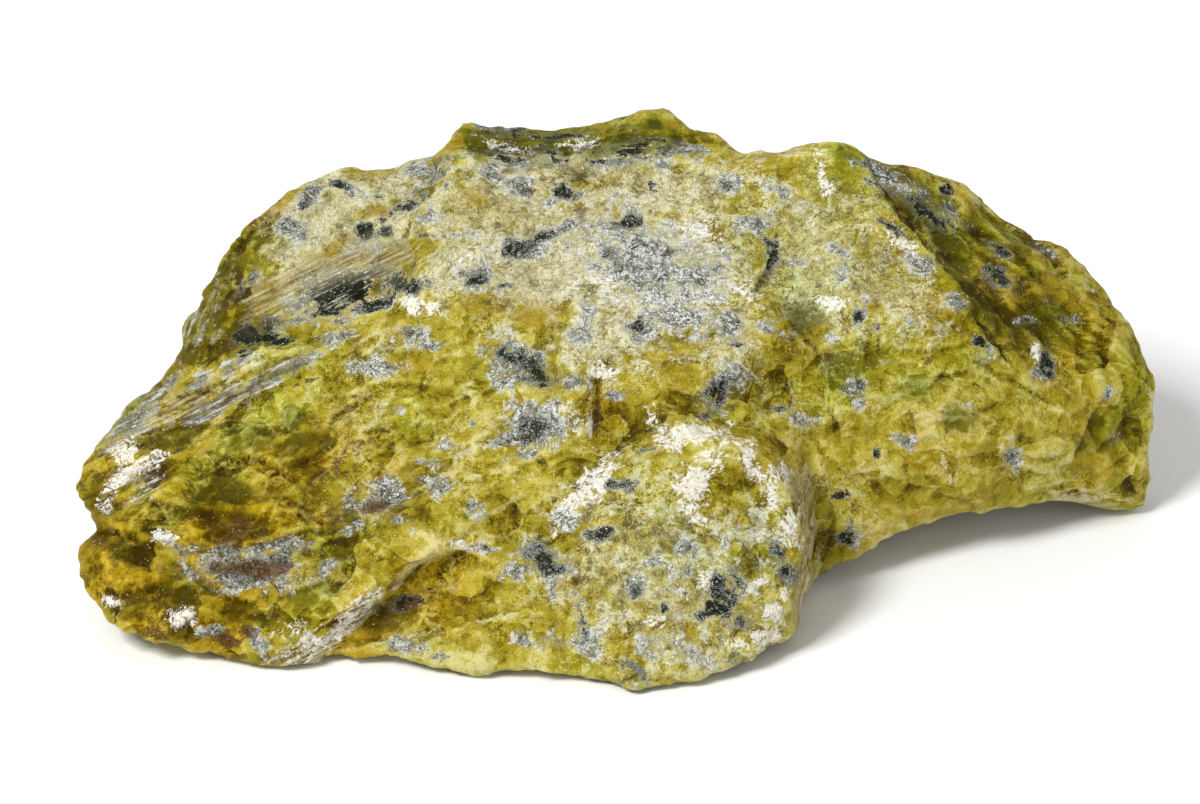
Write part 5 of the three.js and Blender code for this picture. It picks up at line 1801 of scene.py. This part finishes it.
    def layer_lines(self, place: Wire, masks: Sequence[Wire]) -> Wire:
        """Fine lines along the layers, in each zone along its own direction.

        A noise is drawn out along the layers. Its three directions are mixed by the masks.

        Args:
            place: Places in millimetres.
            masks: Where each lamination shows.

        Returns:
            Numbers round 0.5.
        """
        graph = self.graph
        total: Optional[Wire] = None
        for lamination, mask in zip(LAMINATIONS, masks):
            angle = np.radians(lamination.climb)
            along = np.array([np.cos(angle), *(np.sin(angle) * PLANE.upward[1:])])
            aside = np.array([-np.sin(angle), *(np.cos(angle) * PLANE.upward[1:])])
            directions = (along, aside, PLANE.inward)
            reads = [
                graph.dot(place, tuple(direction / size)) for direction, size in zip(directions, LINE_SHAPE)
            ]
            drawn = graph.wire(graph.node("ShaderNodeCombineXYZ", {}, dict(enumerate(reads))))
            noise = graph.wire(graph.noise(drawn, 1.0, 3.0, 0.6, 40.0), "Fac")
            share = (noise - 0.5) * mask
            total = share if total is None else total + share
        return total + 0.5


@dataclass(frozen=True)
class SerpentineFinish:
    """The stone's finish: an olive ground, clear where it is glassy, with its minerals over it, painted
    shade in its hollows, and painted glints.

    Attributes:
        shade: The ground where it is deepest, which also takes the painted shade of the hollows.
        deep: The clear olive below the common one.
        ground: The common olive.
        lit: The paler olive.
        pale: The palest olive, on thin edges, which also takes the painted light on proud edges and crests.
        green: What the ground is multiplied by where it is greenest.
        amber: What the ground is multiplied by where it is brownest.
        glass: The green of a glassy break.
        ochre: Orange-yellow stains.
        film: The greyish film.
        frost: The frosted skin.
        cream: The palest of the frosted skin, and the painted glints on the ground.
        chalk: White crust.
        grain_dark: The darkest grains of the blue-grey mix.
        grain_middle: Its common grey.
        grain_light: Its pale grains.
        grain_white: Its white grains, and the painted glints inside it.
        brown: The rusty mineral.
        fibre: Beige fibrous edges.
        fibre_dark: The lines between the fibres.
        strand_light: Grey fibrous layers.
        strand_dark: The lines between them.
    """

    shade: Colour = display(58, 44, 4)
    deep: Colour = display(100, 86, 10)
    ground: Colour = display(148, 133, 32)
    lit: Colour = display(177, 164, 66)
    pale: Colour = display(202, 192, 128)
    green: Colour = display(236, 255, 202)
    amber: Colour = display(255, 231, 122)
    glass: Colour = display(78, 72, 9)
    ochre: Colour = display(164, 138, 34)
    film: Colour = display(160, 156, 124)
    frost: Colour = display(186, 181, 138)
    cream: Colour = display(212, 209, 178)
    chalk: Colour = display(238, 235, 226)
    grain_dark: Colour = display(26, 30, 22)
    grain_middle: Colour = display(118, 122, 118)
    grain_light: Colour = display(190, 192, 186)
    grain_white: Colour = display(240, 239, 233)
    brown: Colour = display(100, 66, 46)
    fibre: Colour = display(192, 180, 134)
    fibre_dark: Colour = display(118, 104, 60)
    strand_light: Colour = display(154, 149, 122)
    strand_dark: Colour = display(78, 72, 36)

    def material(self) -> bpy.types.Material:
        """Builds the material, from the ground outwards.

        Returns:
            A material that reads the stone's own numbers and its Object coordinates.
        """
        material = bpy.data.materials.new("raw_serpentine")
        graph = Graph(material)
        rock = Rock(graph)
        colour = self.olive(rock)
        covers = (self.rims, self.tints, self.coats, self.strands, self.crust, self.mixture, self.rust)
        for cover in (*covers, self.painted_glints):
            colour = cover(rock, colour)
        rough = 0.3 + rock.powder * 0.25 + rock.fine * 0.05 + rock.crystal_tone * 0.1 + rock.skin * 0.1
        surface = graph.node(
            "ShaderNodeBsdfPrincipled",
            {},
            {
                "Base Color": colour,
                "Roughness": rough.at_least(0.2).at_most(0.85),
                "Normal": self.relief(rock),
                "IOR": 1.5,
                "Specular IOR Level": 0.08,
                "Specular Tint": (1.0, 0.92, 0.35, 1.0),
                "Subsurface Weight": 0.1,
                "Subsurface Radius": (1.0, 0.85, 0.25),
                "Subsurface Scale": 0.0006,
            },
        )
        graph.node("ShaderNodeOutputMaterial", {}, {"Surface": graph.wire(surface)})
        return material

    def olive(self, rock: Rock) -> Wire:
        """The ground: plates of clear olive, with painted shade that is darker in the hollows and pale on
        the edges, and painted shading that makes plates and granules lighter where they stand higher.

        Args:
            rock: What is read at each place.

        Returns:
            The colour.
        """
        graph, powder, glass, amber = rock.graph, rock.powder, rock.glass, rock.amber
        # painted shading: plates and granules are lighter where their tilted faces stand higher
        plates = (rock.plate_tone + rock.slant) * (0.55 - powder * 0.3 + amber * 0.35)
        light = rock.slow * 0.3 + plates + rock.chips * (1.4 - glass)
        light = light + rock.middle * 0.1 + (rock.tone - 0.5) * (2.15 - rock.grit - amber * 0.3) - 0.04
        # painted shade: darker in hollows and paler on proud edges and crests
        light = light + (rock.crisp - 0.5) + (rock.proud - 0.5) * 0.8 + (rock.broad - 0.5) * 0.6
        light = light + rock.streaks * 0.3 + rock.busy * (0.6 + powder * 0.45 - glass * 0.2)
        light = light + rock.lemon * 0.6 - amber * 0.5 - rock.moss * 0.15 - glass * 0.8
        colour = graph.mix(graph.step(light, -1.9, -0.9), self.shade, self.deep)
        colour = graph.mix(graph.step(light, -1.0, 0.0), colour, self.ground)
        colour = graph.mix(graph.step(light, 0.0, 0.9), colour, self.lit)
        colour = graph.mix(graph.step(light, 0.9, 1.7), colour, self.pale)
        return graph.mix(graph.step(rock.lens, 0.42, 0.56) * 0.6, colour, self.glass)

    def rims(self, rock: Rock, colour: Wire) -> Wire:
        """Adds pale rims of plates and clear patches, winding threads, and painted edge light along sharp
        crests.

        Args:
            rock: What is read at each place.
            colour: The colour so far.

        Returns:
            The new colour.
        """
        graph = rock.graph
        outline = graph.step(rock.lens, 0.3, 0.4) - graph.step(rock.lens, 0.46, 0.56)
        inward = rock.plate_edge * -1.0 + rock.fine * 0.008 + rock.plate_tone * 0.02
        edge = graph.step(inward, -0.05, -0.015)
        # painted edge light: paler along sharp crests
        sharp = graph.step(rock.crisp, 0.56, 0.7)
        rims = rock.thread * 0.25 + edge * 0.4 + outline * 0.35 + sharp * 0.4
        rims = rims * rock.torn * (1.0 - rock.glass * 0.55 - rock.amber * 0.25)
        return graph.mix(rims.at_most(0.75), colour, graph.mix(rock.powder, self.pale, self.cream))

    def tints(self, rock: Rock, colour: Wire) -> Wire:
        """Adds green and brown tints, and ochre stains.

        Args:
            rock: What is read at each place.
            colour: The colour so far.

        Returns:
            The new colour.
        """
        graph = rock.graph
        greenness = rock.hue * 0.5 + rock.moss * 1.1 + rock.glass * 0.6 + rock.middle * 0.2
        greened = graph.mix(1.0, colour, self.green, "MULTIPLY")
        colour = graph.mix(graph.step(greenness, 0.0, 1.2), colour, greened)
        brownness = rock.amber * 1.3 - rock.hue * 0.45 + rock.middle * 0.2
        browned = graph.mix(1.0, colour, self.amber, "MULTIPLY")
        colour = graph.mix(graph.step(brownness, 0.1, 1.2), colour, browned)
        return graph.mix(graph.patch(rock.ochre, rock.ragged, 0.3, 0.8) * 0.65, colour, self.ochre)

    def coats(self, rock: Rock, colour: Wire) -> Wire:
        """Adds the greyish film and the frosted skin, which leave the clear patches nearly bare; the skin
        carries painted shade, greyer in hollows and creamier on proud places.

        Args:
            rock: What is read at each place.
            colour: The colour so far.

        Returns:
            The new colour.
        """
        graph = rock.graph
        film = graph.mix(graph.step(rock.grain * 1.6 + rock.middle * 0.4, -0.8, 0.8), self.film, self.cream)
        filmed = rock.powder * graph.step(rock.haze, 0.1, 0.8) * (0.45 - rock.clear * 0.35)
        colour = graph.mix(filmed, colour, film)
        cloudy_and_shaded = rock.busy * 1.25 + rock.middle * 0.8 + rock.slow * 0.35 + rock.plate_tone * 0.8
        # painted shade: the skin is greyer in hollows and creamier on proud places
        cloudy_and_shaded = cloudy_and_shaded + (rock.proud - 0.5) * 1.2
        covering = graph.mix(graph.step(cloudy_and_shaded, -0.9, 0.1), self.film, self.frost)
        covering = graph.mix(graph.step(cloudy_and_shaded, 0.1, 1.0), covering, self.cream)
        return graph.mix(rock.skin * (0.78 - rock.clear * 0.65), colour, covering)

    def strands(self, rock: Rock, colour: Wire) -> Wire:
        """Adds the fibrous layers: beige, and grey inside the blue-grey mix.

        Args:
            rock: What is read at each place.
            colour: The colour so far.

        Returns:
            The new colour.
        """
        graph = rock.graph
        strand = graph.step(rock.streaks + rock.fine * 0.2, -0.7, 0.7)
        beige = graph.mix(strand, self.fibre_dark, self.fibre)
        grey = graph.mix(strand, self.strand_dark, self.strand_light)
        strands = graph.mix(graph.step(rock.grey, 0.1, 0.6), beige, grey)
        return graph.mix(graph.patch(rock.fibre, rock.ragged * 0.6, 0.3, 0.7) * 0.8, colour, strands)

    def crust(self, rock: Rock, colour: Wire) -> Wire:
        """Adds the white crust.

        Args:
            rock: What is read at each place.
            colour: The colour so far.

        Returns:
            The new colour.
        """
        graph = rock.graph
        rim = rock.ragged * 1.2 + rock.fine * 0.3 + rock.grain * 0.15 + rock.thread * 0.2
        whiteness = graph.step(rock.fine * 0.7 + rock.grain * 0.6, -1.1, 0.1)
        crust = graph.mix(whiteness, self.frost, self.chalk)
        return graph.mix(graph.patch(rock.chalk, rim, 0.25, 0.85) * 0.85, colour, crust)

    def mixture(self, rock: Rock, colour: Wire) -> Wire:
        """Adds the blue-grey mix: a pale halo, grains from black to white, and dark cores.

        Args:
            rock: What is read at each place.
            colour: The colour so far.

        Returns:
            The new colour.
        """
        graph, stronger = rock.graph, rock.stronger
        halo = graph.step(stronger + rock.ragged * 0.8, 0.0, 0.6) * graph.step(stronger, 0.0, 0.2)
        colour = graph.mix(halo * (0.1 + rock.powder * 0.3), colour, self.cream)
        salted = graph.patch(stronger, rock.ragged * 2.1, 0.36, 0.7)
        core = graph.patch(rock.dark, rock.ragged * 2.5 + rock.crystal_tone * 0.4, 0.42, 0.85)
        value = (rock.fine * 1.05 + rock.crystal_tone * 1.2 + rock.tiny * 0.6) * (1.0 - rock.layer * 0.6)
        value = value + rock.middle * 0.3 + rock.streaks * 1.4 - rock.layer * 0.3
        value = value + (0.45 - stronger) * 0.4 - core * 1.15 - rock.glass * 0.65
        mixed = graph.mix(graph.step(value, -1.0, -0.4), self.grain_dark, self.grain_middle)
        mixed = graph.mix(graph.step(value, 0.0, 0.7), mixed, self.grain_light)
        whiter = (rock.wisp + rock.chalk) * graph.step(value, -0.4, 0.7) * (0.25 + rock.powder * 0.35)
        mixed = graph.mix(whiter, mixed, self.grain_white)
        return graph.mix(salted * (1.0 - rock.fibre * 0.5) * (0.88 + core * 0.12), colour, mixed)

    def rust(self, rock: Rock, colour: Wire) -> Wire:
        """Adds the rusty mineral.

        Args:
            rock: What is read at each place.
            colour: The colour so far.

        Returns:
            The new colour.
        """
        graph = rock.graph
        rim = rock.ragged * 1.6 + rock.crystal_tone * 0.3
        rust = graph.mix(graph.step(rock.grain, -0.5, 0.6), self.shade, self.brown)
        return graph.mix(graph.patch(rock.brown, rim, 0.42, 0.68) * 0.85, colour, rust)

    def painted_glints(self, rock: Rock, colour: Wire) -> Wire:
        """Adds painted glints: small white highlights painted on the middles of a few crystals.

        Args:
            rock: What is read at each place.
            colour: The colour so far.

        Returns:
            The new colour.
        """
        graph = rock.graph
        split = graph.node("ShaderNodeSeparateColor", {}, {0: graph.wire(rock.crystal, "Color")})
        picked = graph.step(graph.wire(split, 1), 0.85, 0.91)
        # painted glints: highlight dots, cream on the ground and white in the blue-grey mix
        glint_spot = graph.step(graph.wire(rock.crystal, "Distance") * -1.0, -0.35, -0.15) * picked
        glint = graph.mix(graph.step(rock.stronger, 0.05, 0.4), self.cream, self.grain_white)
        return graph.mix(glint_spot * (0.45 + rock.powder * 0.25), colour, glint)

    def relief(self, rock: Rock) -> Wire:
        """The relief that is too fine for the mesh.

        Args:
            rock: What is read at each place.

        Returns:
            The bent normals.
        """
        height = rock.slant * 0.35 + rock.chips * 0.12
        height = height + rock.crystal_slant * (0.25 + rock.grit * 0.8 + rock.haze * 0.4)
        height = height + rock.fine * (0.01 + rock.grit * 0.02) + rock.tiny * 0.008 + rock.streaks * 0.03
        sockets = {"Strength": 1.0, "Distance": MM, "Height": height}
        return rock.graph.wire(rock.graph.node("ShaderNodeBump", {}, sockets))


# ---------------------------------------------------------------------------------------- the studio


@dataclass
class Studio:
    """Floor, lights, sky and camera.

    Attributes:
        focal_length: Lens of the camera, in millimetres.
        sensor_width: Width of its sensor, in millimetres.
        floor_size: Side of the floor, in metres.
        floor_tone: How pale the floor is.
        sky_strength: Strength of the even light.
    """

    focal_length: float = 300.0
    sensor_width: float = 36.0
    floor_size: float = 3.0
    floor_tone: float = 0.93
    sky_strength: float = 0.42

    def build(self) -> None:
        """Makes everything round the stone."""
        self.floor()
        self.sky()
        self.lamp("key", (-0.62, -0.55, 0.95), 0.4, 15.0)
        self.lamp("fill", (0.75, -0.85, 0.5), 0.8, 2.0)
        self.lamp("back", (-0.1, 0.85, 0.9), 0.6, 2.5)
        self.camera()
        bpy.context.scene.view_settings.view_transform = "Standard"

    def floor(self) -> None:
        """A plain pale floor."""
        half = self.floor_size / 2
        mesh = bpy.data.meshes.new("floor")
        corners = [(-half, -half, 0), (half, -half, 0), (half, half, 0), (-half, half, 0)]
        mesh.from_pydata(corners, [], [(0, 1, 2, 3)])
        floor = bpy.data.objects.new("floor", mesh)
        bpy.context.scene.collection.objects.link(floor)
        material = bpy.data.materials.new("pale_floor")
        graph = Graph(material)
        sockets = {"Base Color": (*[self.floor_tone] * 3, 1.0), "Roughness": 0.9}
        matt = graph.node("ShaderNodeBsdfPrincipled", {}, sockets)
        graph.node("ShaderNodeOutputMaterial", {}, {"Surface": graph.wire(matt)})
        mesh.materials.append(material)

    def sky(self) -> None:
        """Even white light from all round."""
        world = bpy.data.worlds.new("white_sky")
        world.use_nodes = True
        backdrop = world.node_tree.nodes["Background"]
        backdrop.inputs["Color"].default_value = (1.0, 1.0, 1.0, 1.0)
        backdrop.inputs["Strength"].default_value = self.sky_strength
        bpy.context.scene.world = world

    def lamp(self, name: str, place: tuple[float, float, float], size: float, power: float) -> None:
        """A square soft light that faces the stone.

        Args:
            name: What it's called.
            place: Where it stands, in metres.
            size: Its side, in metres.
            power: In watts.
        """
        data = bpy.data.lights.new(name, "AREA")
        data.size = size
        data.energy = power
        lamp = bpy.data.objects.new(name, data)
        lamp.location = place
        lamp.rotation_euler = (-Vector(place)).to_track_quat("-Z", "Y").to_euler()
        bpy.context.scene.collection.objects.link(lamp)

    def camera(self) -> None:
        """The camera looks along the leaning plane's direction of sight at its zero point."""
        data = bpy.data.cameras.new("camera")
        data.lens = self.focal_length
        data.sensor_width = self.sensor_width
        data.clip_start = 0.05
        camera = bpy.data.objects.new("camera", data)
        sight = Vector(PLANE.inward)
        camera.location = (Vector(PLANE.origin) - sight * PLANE.distance) * MM
        camera.rotation_euler = sight.to_track_quat("-Z", "Y").to_euler()
        bpy.context.scene.collection.objects.link(camera)
        bpy.context.scene.camera = camera


def main() -> None:
    """Builds the stone and its studio."""
    logging.basicConfig(level=logging.INFO, format="%(name)s: %(message)s")
    stone = Stone().build()
    stone.data.materials.clear()
    stone.data.materials.append(SerpentineFinish().material())
    LOG.info("stone has %d faces", len(stone.data.polygons))
    Studio().build()


if __name__ == "__main__":
    main()
